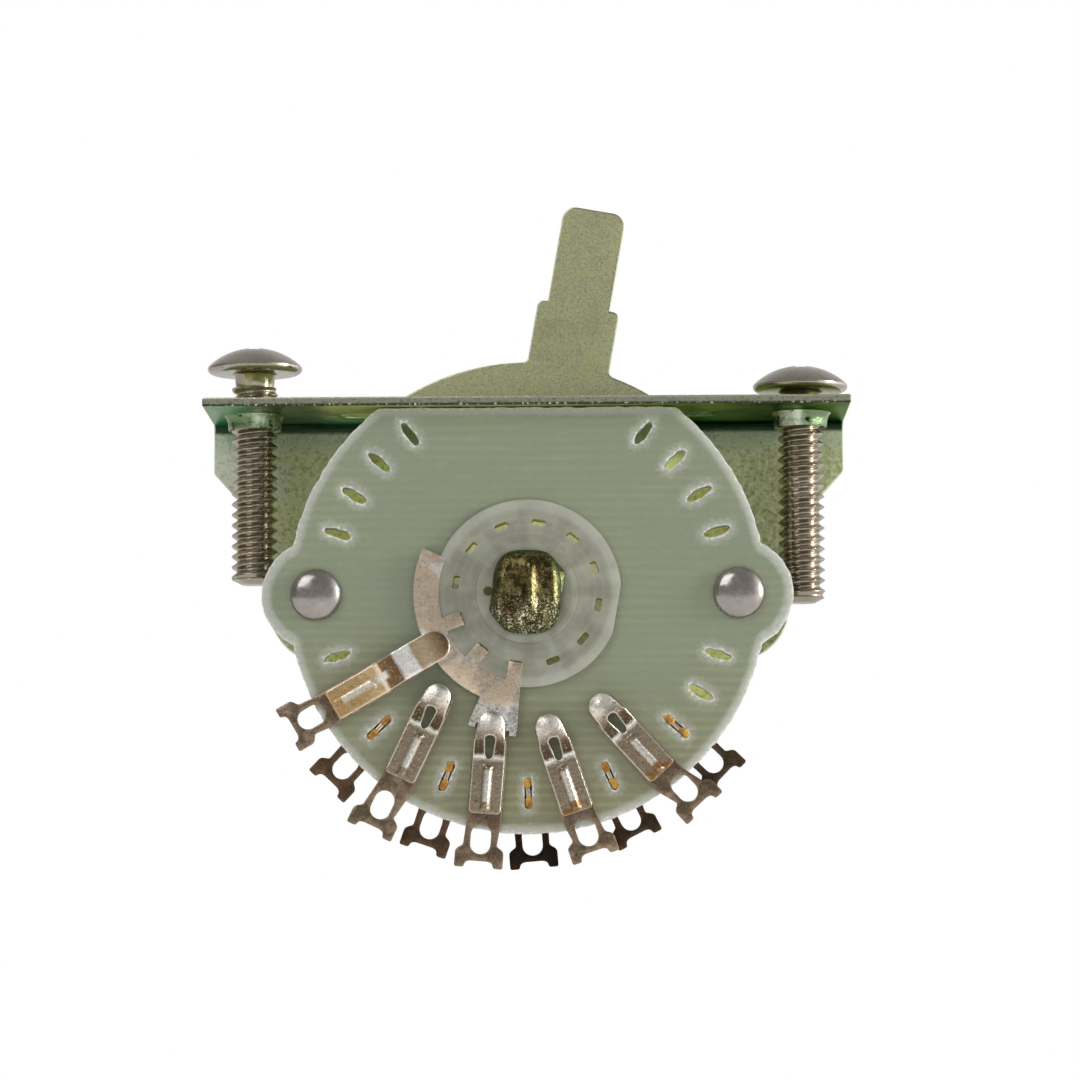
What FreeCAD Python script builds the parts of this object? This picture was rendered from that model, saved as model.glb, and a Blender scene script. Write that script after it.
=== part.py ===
"""Guitar pickup selector switch: a lever swings a nylon rotor past clip contacts on a wafer.

Units are millimetres. The origin is the centre of the bracket's mounting face, +X along the
bracket, +Z out of that face (the lever's side) and -Y towards the wafer.
"""
import FreeCAD, Part
import os
from math import acos, asin, atan2, cos, pi, radians, sin, sqrt

V = FreeCAD.Vector

# Bracket: one folded sheet
SHEET = 0.65
PLATE_LENGTH = 48.3
PLATE_DEPTH = 12.7
FOLD_INNER_R = 0.55
SIDE_DROP = 4.35
CHAMFER_DROP = 6.0
CHAMFER_X = 22.68
WAIST_X = 20.7
WAIST_DROP = 8.2
LOBE_R = 4.2
SKIRT_R = 16.6
SLOT_LENGTH = 28.6
SLOT_WIDTH = 2.7
COLLAR_HEIGHT = 1.05
COLLAR_R = 2.15
BUSHING_HOLE_R = 3.4

# Axis of the lever, below the mounting face
AXIS_DROP = 14.7
LEAN_DEG = 10.0

# Mounting screws
SCREW_SPACING = 41.275
SCREW_R = 1.75
THREAD_GAP = 0.01
SCREW_LENGTH = 16.0
NECK_R = 1.45
NECK_LENGTH = 1.0
HEAD_R = 3.58
HEAD_DOME = 1.45
HEAD_RIM = 0.55
HEAD_UNDER_R = 3.05
RAISED_LEFT = 2.55
RAISED_RIGHT = 0.95

# Wafer
WAFER_FRONT = -5.3
WAFER_T = 1.5
WAFER_R = 17.8
WAFER_FLAT = 13.95
EAR_X = 15.72
EAR_R = 4.05
SLOT_CIRCLE_R = 14.84
SLOT_PITCH_DEG = 12.0
WAFER_SLOT_L = 2.5
WAFER_SLOT_W = 0.75
WAFER_SLOTS = list(range(3, 7)) + list(range(9, 22)) + list(range(24, 28))
WAFER_BORE_R = 6.2

# Rotor
ROTOR_R = 7.0
ROTOR_FLAT_X = 6.75
ROTOR_LIFT = 0.05
ROTOR_FACE = 0.4
ROTOR_GAP = 0.08
BOSS_R = 3.75
BOSS_RISE = 0.8
ROTOR_SLOTS = 12
ROTOR_SLOT_R = 5.35
ROTOR_SLOT_L = 1.05
ROTOR_SLOT_W = 0.5
ROTOR_SLOT_TURN_DEG = 9.3

# Rotor contacts
ARC_OUT_R = 8.45
ARC_WIDTH = 1.85
ARC_FROM_DEG = 293.5
ARC_TAB_FROM_DEG = 204.6
ARC_TAB_TO_DEG = 184.5
ARC_TAB_REACH = 1.9
CONTACT_T = 0.3
FINGER_W = 1.05
FINGER_TIP = 0.15
FINGER_ROOT = 0.3
FINGER_TURNS = (249.3, 219.3, 189.3)
FOOT_L = 0.35
FOOT_W = 0.5
FOOT_INSET_DEG = 1.6

# Clip contacts: a terminal on the wafer and a spring leaf on the terminal
TERMINAL_T = 0.3
LEAF_T = 0.25
LEAF_W = 2.35
BASE_W = 2.55
NECK_W = 2.5
LUG_W = 3.6
LUG_HOLE_U = 3.7
LUG_HOLE_W = 1.5
LUG_HOLE_L = 2.2
SHOULDER_U = 4.3
LUG_END_U = 5.8
LUG_FOOT_W = 0.7
LUG_NOTCH = 0.5
LEAF_END_U = 1.85
LIFT = 0.5
SHORT_TIP_U = -5.7
SHORT_SPOON_U = -3.75
SHORT_BEND_U = -2.37
SPOON_CROWN = 0.3
SPOON_W = 2.05
OPENING_L = 1.75
OPENING_W = 0.62
COMMON_TIP_U = -8.05
COMMON_CURL_U = -5.4
COMMON_DIP = 0.4
COMMON_LEAF_W = 2.3
COMMON_BEND_U = -2.3
COMMON_RISE_U = -3.75
RIB_L = 3.6
RIB_W = 0.5
RIB_H = 0.28
TAB_L = 1.8
TAB_W = 0.36

# Each clip: its slot's turn, its skew in the slot, and its lug's reach and sway from straight
SHORT_CLIPS = ((144, -6.5, 0.1, 0.5), (168, -6.6, -0.35, 0.2), (192, -7.2, 0.05, -0.15),
               (216, -10.3, 0.6, -0.35))
COMMON_CLIP = (240, 0.0, -0.15, -0.15)
REAR_CLIPS = ((132, 2.0, -0.3, 0.0), (156, -3.0, -0.55, 0.1), (180, -4.5, -0.3, 0.0),
              (204, -5.0, 0.0, 0.0), (228, -4.0, 0.05, -0.05))

# Rivets and spacers
RIVET_R = 1.2
RIVET_HEAD_R = 1.93
RIVET_HEAD_H = 0.95
RIVET_TAIL_R = 1.7
RIVET_TAIL_H = 0.5
SPACER_R = 2.4

# Shaft
SHAFT_R = 3.12
SHAFT_FLATS = 5.1
SHAFT_PROUD = 3.0
SHAFT_EASE = 0.4
RUNNING_GAP = 0.05
SHOULDER_R = 4.2
JOURNAL_R = 2.5
SHAFT_TAIL = 2.2
BUSH_R = 4.3
BUSH_T = 0.6
RING_T = 0.5
RING_R = 3.6
GROOVE_R = 2.1

# Lever
LEVER_T = 1.35
TANG_W = 4.72
TANG_R = 30.05
TANG_CORNER = 1.0
SHANK_W = 6.2
SHANK_R = 22.6
SECTOR_R = 18.0
SECTOR_HALF_DEG = 47.5
CAM_R = 9.5
NOTCH_DEPTH = 0.5
NOTCH_TURNS = (-30.0, -10.0, 10.0, 30.0)

# Detent
ROLLER_R = 1.0
ROLLER_HALF = 1.3
SPRING_T = 0.35
SPRING_HALF = 1.1
KNEE_X = 8.4
KNEE_DROP = 9.6
NOSE_HALF = 1.8
HOOK_END_DEG = -20.0
EAR_RISE = 0.8

AXIS_Z = -AXIS_DROP
ARC_IN_R = ARC_OUT_R - ARC_WIDTH
TAB_R = ARC_OUT_R + ARC_TAB_REACH
WAFER_BACK = WAFER_FRONT + WAFER_T
REAR_IN = PLATE_DEPTH / 2 - SHEET
REAR_OUT = PLATE_DEPTH / 2
os.makedirs("parts", exist_ok=True)


def point(turn, radius, y=0.0):
    """A point at a clockwise turn from straight up, seen from the wafer's side."""
    a = radians(turn)
    return V(radius * sin(a), y, AXIS_Z + radius * cos(a))


def slab(points, y0, y1):
    """A plate with a polygon outline of (x, z) pairs, from y0 to y1."""
    ring = [V(x, y0, z) for x, z in points]
    wire = Part.makePolygon(ring + [ring[0]])
    return Part.Face(wire).extrude(V(0, y1 - y0, 0))


def barrel(x, z, r, y0, y1):
    """A cylinder along Y."""
    return Part.makeCylinder(r, y1 - y0, V(x, y0, z), V(0, 1, 0))


def block(x0, x1, y0, y1, z0, z1):
    """A box from its limits."""
    return Part.makeBox(x1 - x0, y1 - y0, z1 - z0, V(x0, y0, z0))


def sector_slab(turn0, turn1, radius, y0, y1):
    """A wedge of a circle between two turns, wide enough to cut with."""
    steps = max(2, int(abs(turn1 - turn0) / 20) + 1)
    far = radius / cos(radians(abs(turn1 - turn0) / steps / 2))
    ring = [(0.0, AXIS_Z)]
    for i in range(steps + 1):
        p = point(turn0 + (turn1 - turn0) * i / steps, far)
        ring.append((p.x, p.z))
    return slab(ring, y0, y1)


def turned(shape, turn):
    """A copy turned clockwise about the lever's axis, seen from the wafer's side."""
    out = shape.copy()
    out.rotate(V(0, 0, AXIS_Z), V(0, 1, 0), turn)
    return out


def plate(points, w0, w1):
    """A plate with a polygon outline of local (X, Y) pairs, from w0 to w1."""
    ring = [V(u, v, w0) for u, v in points]
    return Part.Face(Part.makePolygon(ring + [ring[0]])).extrude(V(0, 0, w1 - w0))


def pill(length, width, w0, w1, sides=0):
    """A round-ended bar along local X, from w0 to w1. With sides, each end has that many flats."""
    r = width / 2
    half = length / 2 - r
    if sides:
        ring = []
        for s, start in ((1, -90), (-1, 90)):
            for i in range(sides + 1):
                a = radians(start + 180 * i / sides)
                ring.append((s * half + r * cos(a), r * sin(a)))
        return plate(ring, w0, w1)
    body = Part.makeBox(2 * half, width, w1 - w0, V(-half, -r, w0))
    for s in (-1, 1):
        body = body.fuse(Part.makeCylinder(r, w1 - w0, V(s * half, 0, w0)))
    return body.removeSplitter()


def dome(rim_r, height, steps):
    """(radius, height) pairs of a low dome, from its rim to its crown."""
    big = (rim_r ** 2 + height ** 2) / (2 * height)
    edge = asin(rim_r / big)
    ring = []
    for i in range(steps):
        a = edge * (1 - i / steps)
        ring.append((big * sin(a), height - big * (1 - cos(a))))
    return ring + [(0.0, height)]


def spun(profile, place):
    """A solid of revolution about Z from (radius, height) pairs, then placed."""
    ring = [V(r, 0, h) for r, h in profile]
    face = Part.Face(Part.makePolygon(ring + [ring[0]]))
    out = face.revolve(V(0, 0, 0), V(0, 0, 1), 360)
    out.Placement = place
    return out


def placed(shape, turn, radius, front, skew=0.0):
    """Move a shape from its own frame onto a wafer face.

    Local X points outwards along the radius, local Z out of the face.
    """
    a = radians(turn + skew)
    p = point(turn, radius, WAFER_FRONT if front else WAFER_BACK)
    s = -1.0 if front else 1.0
    m = FreeCAD.Matrix(
        sin(a), s * cos(a), 0, p.x,
        0, 0, s, p.y,
        cos(a), -s * sin(a), 0, p.z,
        0, 0, 0, 1)
    out = shape.copy()
    out.Placement = FreeCAD.Placement(m).multiply(out.Placement)
    return out


def save(node, shape):
    """Write one node and check that it is one sound solid."""
    if shape.ShapeType != "Solid":
        solids = shape.Solids
        if len(solids) != 1:
            raise ValueError(f"{node} has {len(solids)} solids")
        shape = solids[0]
    if not shape.isValid():
        raise ValueError(f"{node} is not sound")
    shape.exportStep(f"parts/{node}.step")
    print(node, round(shape.Volume, 3))


def make_bracket():
    """The folded sheet with its slot, tapped collars, lobes and holes."""
    half = PLATE_LENGTH / 2
    ro = FOLD_INNER_R + SHEET
    depth = AXIS_DROP + SKIRT_R + 1
    top = block(-half, half, -REAR_OUT, REAR_OUT - ro, -SHEET, 0)
    rear = block(-half, half, REAR_IN, REAR_OUT, -depth, -ro)
    inner = Part.makeCylinder(FOLD_INNER_R, PLATE_LENGTH + 2, V(-half - 1, REAR_OUT - ro, -ro),
                              V(1, 0, 0))
    corner = block(-half, half, REAR_OUT - ro, REAR_OUT, -ro, 0)
    whole = Part.makeCylinder(ro, PLATE_LENGTH, V(-half, REAR_OUT - ro, -ro), V(1, 0, 0))
    fold = corner.common(whole).cut(inner)
    sheet = top.fuse([rear, fold])
    outline = slab([(-half, 1), (half, 1), (half, -SIDE_DROP), (CHAMFER_X, -CHAMFER_DROP),
                    (WAIST_X, -WAIST_DROP), (EAR_X + LOBE_R - 0.06, AXIS_Z + 0.7),
                    (EAR_X, AXIS_Z), (-EAR_X, AXIS_Z), (-EAR_X - LOBE_R + 0.06, AXIS_Z + 0.7),
                    (-WAIST_X, -WAIST_DROP), (-CHAMFER_X, -CHAMFER_DROP), (-half, -SIDE_DROP)],
                   -REAR_OUT - 1, REAR_OUT + 1)
    skirt = barrel(0, AXIS_Z, SKIRT_R, -REAR_OUT - 1, REAR_OUT + 1)
    lobes = [barrel(s * EAR_X, AXIS_Z, LOBE_R, -REAR_OUT - 1, REAR_OUT + 1) for s in (-1, 1)]
    sheet = sheet.common(outline.fuse([skirt] + lobes))
    slot = pill(SLOT_LENGTH, SLOT_WIDTH, -SHEET - 1, 1)
    cuts = [slot, barrel(0, AXIS_Z, BUSHING_HOLE_R, REAR_IN - 1, REAR_OUT + 1)]
    for s in (-1, 1):
        x = s * SCREW_SPACING / 2
        collar = Part.makeCylinder(COLLAR_R, COLLAR_HEIGHT, V(x, 0, -SHEET - COLLAR_HEIGHT))
        sheet = sheet.fuse(collar)
        bore = SCREW_R + THREAD_GAP
        cuts.append(Part.makeCylinder(bore, SHEET + COLLAR_HEIGHT + 2,
                                      V(x, 0, -SHEET - COLLAR_HEIGHT - 1)))
        cuts.append(barrel(s * EAR_X, AXIS_Z, RIVET_R, REAR_IN - 1, REAR_OUT + 1))
    return sheet.cut(cuts).removeSplitter()


def make_wafer():
    """The disc with its flat top, ears, contact slots and rotor bore."""
    y0, y1 = WAFER_FRONT, WAFER_BACK
    body = barrel(0, AXIS_Z, WAFER_R, y0, y1)
    body = body.fuse([barrel(s * EAR_X, AXIS_Z, EAR_R, y0, y1) for s in (-1, 1)])
    top = AXIS_Z + WAFER_FLAT
    body = body.cut(block(-20, 20, y0 - 1, y1 + 1, top, top + 10))
    cuts = [barrel(0, AXIS_Z, WAFER_BORE_R, y0 - 1, y1 + 1)]
    for s in (-1, 1):
        cuts.append(barrel(s * EAR_X, AXIS_Z, RIVET_R, y0 - 1, y1 + 1))
    for i in WAFER_SLOTS:
        cuts.append(placed(pill(WAFER_SLOT_L, WAFER_SLOT_W, -WAFER_T - 1, 1, 3),
                           SLOT_PITCH_DEG * i, SLOT_CIRCLE_R, True))
    return body.cut(cuts).removeSplitter()


def make_opening():
    """Cutter for the opening between a short clip's legs, through both of its layers."""
    gap = pill(OPENING_L, OPENING_W, -1, 4, 3)
    gap.translate(V((SHORT_SPOON_U + SHORT_BEND_U) / 2 - 0.02, 0, 0))
    return gap


def make_terminal(common, reach, sway):
    """The terminal that lies on the wafer: lower jaw, base, tab and a solder lug, bent a little."""
    b, n, g = BASE_W / 2, NECK_W / 2, LUG_W / 2
    j = LEAF_W / 2 - 0.05
    inner = COMMON_TIP_U + 1.15 if common else SHORT_TIP_U + 0.15
    foot = g - LUG_FOOT_W
    notch = LUG_END_U - LUG_NOTCH
    half = [(inner, j - 0.75), (inner + 0.6, j), (SHORT_BEND_U, b), (2.5, b),
            (SHOULDER_U - 0.15, n), (SHOULDER_U + 0.1, g - 0.15), (SHOULDER_U + 0.3, g),
            (LUG_END_U, g), (LUG_END_U, foot), (notch + 0.12, foot - 0.1), (notch, foot - 0.4)]
    whole = half + [(u, -v) for u, v in reversed(half)]
    body = plate([(u + reach, v + sway) if u > 3 else (u, v) for u, v in whole], 0, TERMINAL_T)
    hole = pill(LUG_HOLE_L, LUG_HOLE_W, -1, TERMINAL_T + 1, 5)
    hole.translate(V(LUG_HOLE_U + reach * 0.8, sway * 0.8, 0))
    tab = Part.makeBox(TAB_L, TAB_W, WAFER_T, V(-TAB_L / 2, -TAB_W / 2, -WAFER_T))
    cuts = [hole] if common else [hole, make_opening()]
    return body.cut(cuts).fuse(tab).removeSplitter()


def strip(points, thickness, width):
    """A bent strip: (u, w) points of its lower side, swept across the width."""
    ring = points + [(u, w + thickness) for u, w in reversed(points)]
    pts = [V(u, -width / 2, w) for u, w in ring]
    return Part.Face(Part.makePolygon(pts + [pts[0]])).extrude(V(0, width, 0))


def spoon(tip, end, width):
    """A leaf's end, bent across its width into a ridged spoon with a blunt tip."""
    low = TERMINAL_T + LIFT
    r, c = width / 2, SPOON_CROWN
    arch = [(-r, 0), (-0.4 * r, c), (0.4 * r, c), (r, 0)]
    ring = [V(tip, v, low + w) for v, w in arch]
    ring += [V(tip, v, low + w + LEAF_T) for v, w in reversed(arch)]
    shell = Part.Face(Part.makePolygon(ring + [ring[0]])).extrude(V(end - tip, 0, 0))
    plan = [(end, r), (tip + 0.7 * r, r), (tip, 0.4 * r)]
    return shell.common(plate(plan + [(u, -v) for u, v in reversed(plan)], 0, 4))


def add_rib(body):
    """The raised rib over the wafer's slot."""
    base = TERMINAL_T + LEAF_T
    rib = Part.makeBox(RIB_L, RIB_W, RIB_H + 0.1, V(-RIB_L / 2, -RIB_W / 2, base - 0.1))
    return body.fuse(rib).removeSplitter()


def make_short_leaf():
    """A short spring leaf: flat, two legs round an opening and a spoon."""
    t0 = TERMINAL_T
    low = [(SHORT_SPOON_U - 0.2, t0 + LIFT), (SHORT_SPOON_U + 0.1, t0 + LIFT),
           (SHORT_BEND_U, t0), (LEAF_END_U, t0)]
    body = strip(low, LEAF_T, LEAF_W)
    body = body.fuse(spoon(SHORT_TIP_U, SHORT_SPOON_U + 0.05, SPOON_W))
    return add_rib(body.cut(make_opening()))


def make_common_leaf():
    """The long spring leaf: flat, raised stretch and a tip curved down to the rotor contact."""
    t0 = TERMINAL_T
    high = t0 + LIFT + COMMON_DIP
    run = COMMON_CURL_U - COMMON_TIP_U
    big = (run ** 2 + COMMON_DIP ** 2) / (2 * COMMON_DIP)
    half = COMMON_LEAF_W / 2
    body = strip([(COMMON_CURL_U, high), (COMMON_RISE_U, high), (COMMON_BEND_U, t0),
                  (LEAF_END_U, t0)], LEAF_T, COMMON_LEAF_W)
    start = V(COMMON_CURL_U, -half, high - big)
    curl = Part.makeCylinder(big + LEAF_T, 2 * half, start, V(0, 1, 0))
    curl = curl.cut(Part.makeCylinder(big, 2 * half, start, V(0, 1, 0)))
    curl = curl.common(Part.makeBox(run, 2 * half, 3, V(COMMON_TIP_U, -half, t0)))
    length = LEAF_END_U - COMMON_TIP_U + 2 * half
    plan = pill(length, 2 * half, -1, 4, 8)
    plan.translate(V(COMMON_TIP_U + length / 2, 0, 0))
    return add_rib(body.fuse(curl).common(plan))


def make_rotor(front):
    """One half of the nylon rotor: a slotted flange, with the boss in front, the hub behind."""
    face = WAFER_FRONT if front else WAFER_BACK
    s = -1.0 if front else 1.0

    def span(r, a, b):
        return barrel(0, AXIS_Z, r, min(a, b), max(a, b))

    lift = face + s * ROTOR_LIFT
    body = span(ROTOR_R, lift, face + s * ROTOR_FACE)
    if not front:
        body = body.fuse(span(WAFER_BORE_R - ROTOR_GAP, WAFER_FRONT - ROTOR_LIFT, lift))
    if front:
        body = body.fuse(span(BOSS_R, lift, face + s * (ROTOR_FACE + BOSS_RISE)))
        body = body.cut(block(ROTOR_FLAT_X, 10, -10, 10, AXIS_Z - 10, AXIS_Z + 10))
    cutter = shaft_section(0.0, -12, 3)
    slots = []
    first = ROTOR_SLOT_TURN_DEG - LEAN_DEG
    deep = WAFER_T + 4 * ROTOR_FACE
    for i in range(ROTOR_SLOTS):
        box = Part.makeBox(ROTOR_SLOT_W, ROTOR_SLOT_L, 2 * deep,
                           V(-ROTOR_SLOT_W / 2, -ROTOR_SLOT_L / 2, -deep))
        slots.append(placed(box, first + 360 / ROTOR_SLOTS * i, ROTOR_SLOT_R, True))
    body = body.cut([cutter] + slots).removeSplitter()
    return turned(body, LEAN_DEG)


def shaft_section(gap, y0, y1):
    """The double-D bar of the shaft, upright."""
    bar = barrel(0, AXIS_Z, SHAFT_R + gap, y0, y1)
    f = SHAFT_FLATS / 2 + gap
    return bar.common(block(-f, f, y0, y1, AXIS_Z - 10, AXIS_Z + 10))


def make_rotor_contact(front):
    """The stamped arc with its tab, bent feet and three fingers into the rotor's slots."""
    face = WAFER_FRONT if front else WAFER_BACK
    s = -1.0 if front else 1.0
    a = face + s * ROTOR_FACE
    b = a + s * CONTACT_T
    y0, y1 = min(a, b), max(a, b)
    arc = barrel(0, AXIS_Z, ARC_OUT_R, y0, y1).common(
        sector_slab(ARC_TAB_TO_DEG, ARC_FROM_DEG, ARC_OUT_R + 2, y0, y1))
    tab = barrel(0, AXIS_Z, TAB_R, y0, y1).common(
        sector_slab(ARC_TAB_TO_DEG, ARC_TAB_FROM_DEG, TAB_R + 2, y0, y1))
    body = arc.fuse(tab).cut(barrel(0, AXIS_Z, ARC_IN_R, y0 - 1, y1 + 1))
    for turn in FINGER_TURNS:
        reach = ARC_IN_R + FINGER_ROOT - ROTOR_SLOT_R + FINGER_TIP
        flat = Part.makeBox(reach, FINGER_W, CONTACT_T,
                            V(-FINGER_TIP, -FINGER_W / 2, ROTOR_FACE))
        down = Part.makeBox(2 * FINGER_TIP, FINGER_W * 0.9,
                            ROTOR_FACE + CONTACT_T - 2 * ROTOR_LIFT,
                            V(-FINGER_TIP, -FINGER_W * 0.45, 2 * ROTOR_LIFT))
        body = body.fuse(placed(flat.fuse(down), turn, ROTOR_SLOT_R, front))
    for turn in (ARC_TAB_TO_DEG + FOOT_INSET_DEG, ARC_TAB_FROM_DEG - FOOT_INSET_DEG):
        foot = Part.makeBox(FOOT_L * 1.3, FOOT_W, CONTACT_T,
                            V(-FOOT_L * 0.3, -FOOT_W / 2, ROTOR_FACE))
        body = body.fuse(placed(foot, turn, TAB_R, front))
    return body.removeSplitter()


def make_shaft():
    """The double-D shaft with a shoulder behind the lever and a grooved journal."""
    tip = WAFER_FRONT - SHAFT_PROUD
    bar = shaft_section(0.0, tip, LEVER_T / 2)
    bar = bar.makeChamfer(SHAFT_EASE, [e for e in bar.Edges if e.CenterOfMass.y < tip + 0.01])
    shoulder_end = REAR_IN - BUSH_T - RUNNING_GAP
    body = bar.fuse(barrel(0, AXIS_Z, SHOULDER_R, LEVER_T / 2, shoulder_end))
    tail = REAR_OUT + SHAFT_TAIL
    body = body.fuse(barrel(0, AXIS_Z, JOURNAL_R, shoulder_end, tail))
    ring0 = REAR_OUT + RUNNING_GAP
    groove = barrel(0, AXIS_Z, JOURNAL_R + 1, ring0, ring0 + RING_T).cut(
        barrel(0, AXIS_Z, GROOVE_R, ring0 - 1, ring0 + 2))
    return turned(body.cut(groove).removeSplitter(), LEAN_DEG)


def make_ring():
    """The retaining ring in the shaft's groove, open on one side."""
    y0 = REAR_OUT + RUNNING_GAP
    body = barrel(0, AXIS_Z, RING_R, y0, y0 + RING_T)
    body = body.cut(barrel(0, AXIS_Z, GROOVE_R, y0 - 1, y0 + 2))
    body = body.cut(block(-GROOVE_R * 0.9, GROOVE_R * 0.9, y0 - 1, y0 + 2, AXIS_Z - 5, AXIS_Z))
    return turned(body.removeSplitter(), LEAN_DEG)


def make_bushing():
    """The flanged bushing in the rear plate that carries the journal."""
    body = barrel(0, AXIS_Z, BUSH_R, REAR_IN - BUSH_T, REAR_IN)
    body = body.fuse(barrel(0, AXIS_Z, BUSHING_HOLE_R, REAR_IN, REAR_OUT))
    return body.cut(barrel(0, AXIS_Z, JOURNAL_R + RUNNING_GAP, REAR_IN - 2, REAR_OUT + 2))


def make_lever():
    """The lever upright, then leaned: tang, shoulders, sector and notched cam edge."""
    y0, y1 = -LEVER_T / 2, LEVER_T / 2
    tang = block(-TANG_W / 2, TANG_W / 2, y0, y1, AXIS_Z, AXIS_Z + TANG_R)
    top = [e for e in tang.Edges if e.CenterOfMass.z > AXIS_Z + TANG_R - 0.01
           and abs(e.CenterOfMass.y) < 0.01]
    tang = tang.makeFillet(TANG_CORNER, top)
    shank = block(-SHANK_W / 2, SHANK_W / 2, y0, y1, AXIS_Z, AXIS_Z + SHANK_R)
    top = [e for e in shank.Edges if e.CenterOfMass.z > AXIS_Z + SHANK_R - 0.01
           and abs(e.CenterOfMass.y) < 0.01]
    shank = shank.makeFillet(0.45, top)
    sector = barrel(0, AXIS_Z, SECTOR_R, y0, y1).common(
        sector_slab(-SECTOR_HALF_DEG, SECTOR_HALF_DEG, SECTOR_R + 2, y0, y1))
    cam = barrel(0, AXIS_Z, CAM_R, y0, y1)
    body = cam.fuse([sector, shank, tang]).removeSplitter()
    foot = sqrt(SECTOR_R ** 2 - (SHANK_W / 2) ** 2)
    web = []
    for s in (-1, 1):
        r = 0.5
        cx = SHANK_W / 2 + r
        cz = sqrt((SECTOR_R + r) ** 2 - cx ** 2)
        fill = slab([(s * (SHANK_W / 2 - 0.2), AXIS_Z + foot - 0.6),
                     (s * (SHANK_W / 2 - 0.2), AXIS_Z + cz), (s * cx, AXIS_Z + cz),
                     (s * cx * SECTOR_R / (SECTOR_R + r), AXIS_Z + cz * SECTOR_R / (SECTOR_R + r)),
                     (s * (cx - 0.2), AXIS_Z + foot - 0.6)], y0, y1)
        web.append(fill.cut(barrel(s * cx, AXIS_Z + cz, r, y0 - 1, y1 + 1)))
    body = body.fuse(web)
    notches = []
    for turn in NOTCH_TURNS:
        p = point(180 + turn, CAM_R - NOTCH_DEPTH + ROLLER_R)
        notches.append(barrel(p.x, p.z, ROLLER_R, y0 - 1, y1 + 1))
    body = body.cut(notches + [shaft_section(0.0, y0 - 1, y1 + 1)]).removeSplitter()
    return turned(body, LEAN_DEG)


def make_rivet(s):
    """A domed rivet through the wafer and spacer, headed behind the rear plate."""
    grip = REAR_OUT - WAFER_FRONT
    tail = grip + RIVET_TAIL_H
    profile = [(0.0, -tail), (RIVET_TAIL_R, -tail), (RIVET_TAIL_R, -grip),
               (RIVET_R, -grip), (RIVET_R, 0.0)] + dome(RIVET_HEAD_R, RIVET_HEAD_H, 2)
    place = FreeCAD.Placement(V(s * EAR_X, WAFER_FRONT, AXIS_Z),
                              FreeCAD.Rotation(V(1, 0, 0), 90))
    return spun(profile, place)


def make_spacer(s):
    """The tube between the wafer and the rear plate."""
    x = s * EAR_X
    body = barrel(x, AXIS_Z, SPACER_R, WAFER_BACK, REAR_IN)
    return body.cut(barrel(x, AXIS_Z, RIVET_R, WAFER_BACK - 1, REAR_IN + 1))


def make_screw(s, raised):
    """A mounting screw with a plain neck and a low domed head."""
    x = s * SCREW_SPACING / 2
    profile = [(0.0, -SCREW_LENGTH), (SCREW_R, -SCREW_LENGTH), (SCREW_R, -NECK_LENGTH),
               (NECK_R, -NECK_LENGTH), (NECK_R, 0.0), (HEAD_UNDER_R, 0.0)]
    profile += [(r, h + HEAD_RIM) for r, h in dome(HEAD_R, HEAD_DOME, 2)]
    return spun(profile, FreeCAD.Placement(V(x, 0, raised), FreeCAD.Rotation()))


def make_spring():
    """The detent leaf: hooked over both spacers and bent up under the roller."""
    r, t = SPACER_R, SPRING_T
    low = CAM_R - NOTCH_DEPTH + 2 * ROLLER_R
    dx, dz = KNEE_X - EAR_X, -KNEE_DROP
    way = atan2(dz, dx) - acos(r / sqrt(dx ** 2 + dz ** 2))
    nx, nz = cos(way), sin(way)
    body = None
    for s in (-1, 1):
        hook = barrel(s * EAR_X, AXIS_Z, r + t, -SPRING_HALF, SPRING_HALF)
        wedge = [(s * EAR_X, AXIS_Z)]
        for i in range(5):
            a = way + 2 * pi + (radians(HOOK_END_DEG) - way - 2 * pi) * i / 4
            wedge.append((s * (EAR_X + 9 * cos(a)), AXIS_Z + 9 * sin(a)))
        hook = hook.cut([barrel(s * EAR_X, AXIS_Z, r, -2, 2), slab(wedge, -2, 2)])
        arm = [(EAR_X + r * nx, r * nz), (KNEE_X, -KNEE_DROP), (NOSE_HALF, -low - t),
               (0, -low - t), (0, -low), (NOSE_HALF, -low),
               (KNEE_X + t * nx, -KNEE_DROP + t * nz), (EAR_X + (r + t) * nx, (r + t) * nz)]
        arm = slab([(s * x, AXIS_Z + z) for x, z in arm], -SPRING_HALF, SPRING_HALF)
        body = hook.fuse(arm) if body is None else body.fuse([hook, arm])
        x = s * (ROLLER_R + t / 2)
        body = body.fuse(block(x - t / 2, x + t / 2, -SPRING_HALF, SPRING_HALF,
                               AXIS_Z - low - t, AXIS_Z - low + EAR_RISE))
    return body.removeSplitter()


def make_roller():
    """The roller that drops into the lever's notches."""
    z = AXIS_Z - (CAM_R - NOTCH_DEPTH + ROLLER_R)
    return barrel(0, z, ROLLER_R, -ROLLER_HALF, ROLLER_HALF)


save("mounting_bracket", make_bracket())
save("wafer", make_wafer())
save("lever", make_lever())
save("shaft", make_shaft())
save("shaft_bushing", make_bushing())
save("retaining_ring", make_ring())
save("rotor_front", make_rotor(True))
save("rotor_rear", make_rotor(False))
save("rotor_contact_front", make_rotor_contact(True))
save("rotor_contact_rear", make_rotor_contact(False))
save("detent_spring", make_spring())
save("detent_roller", make_roller())
for side, s, raised in (("left", -1, RAISED_LEFT), ("right", 1, RAISED_RIGHT)):
    save(f"rivet_{side}", make_rivet(s))
    save(f"spacer_{side}", make_spacer(s))
    save(f"mounting_screw_{side}", make_screw(s, raised))

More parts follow.
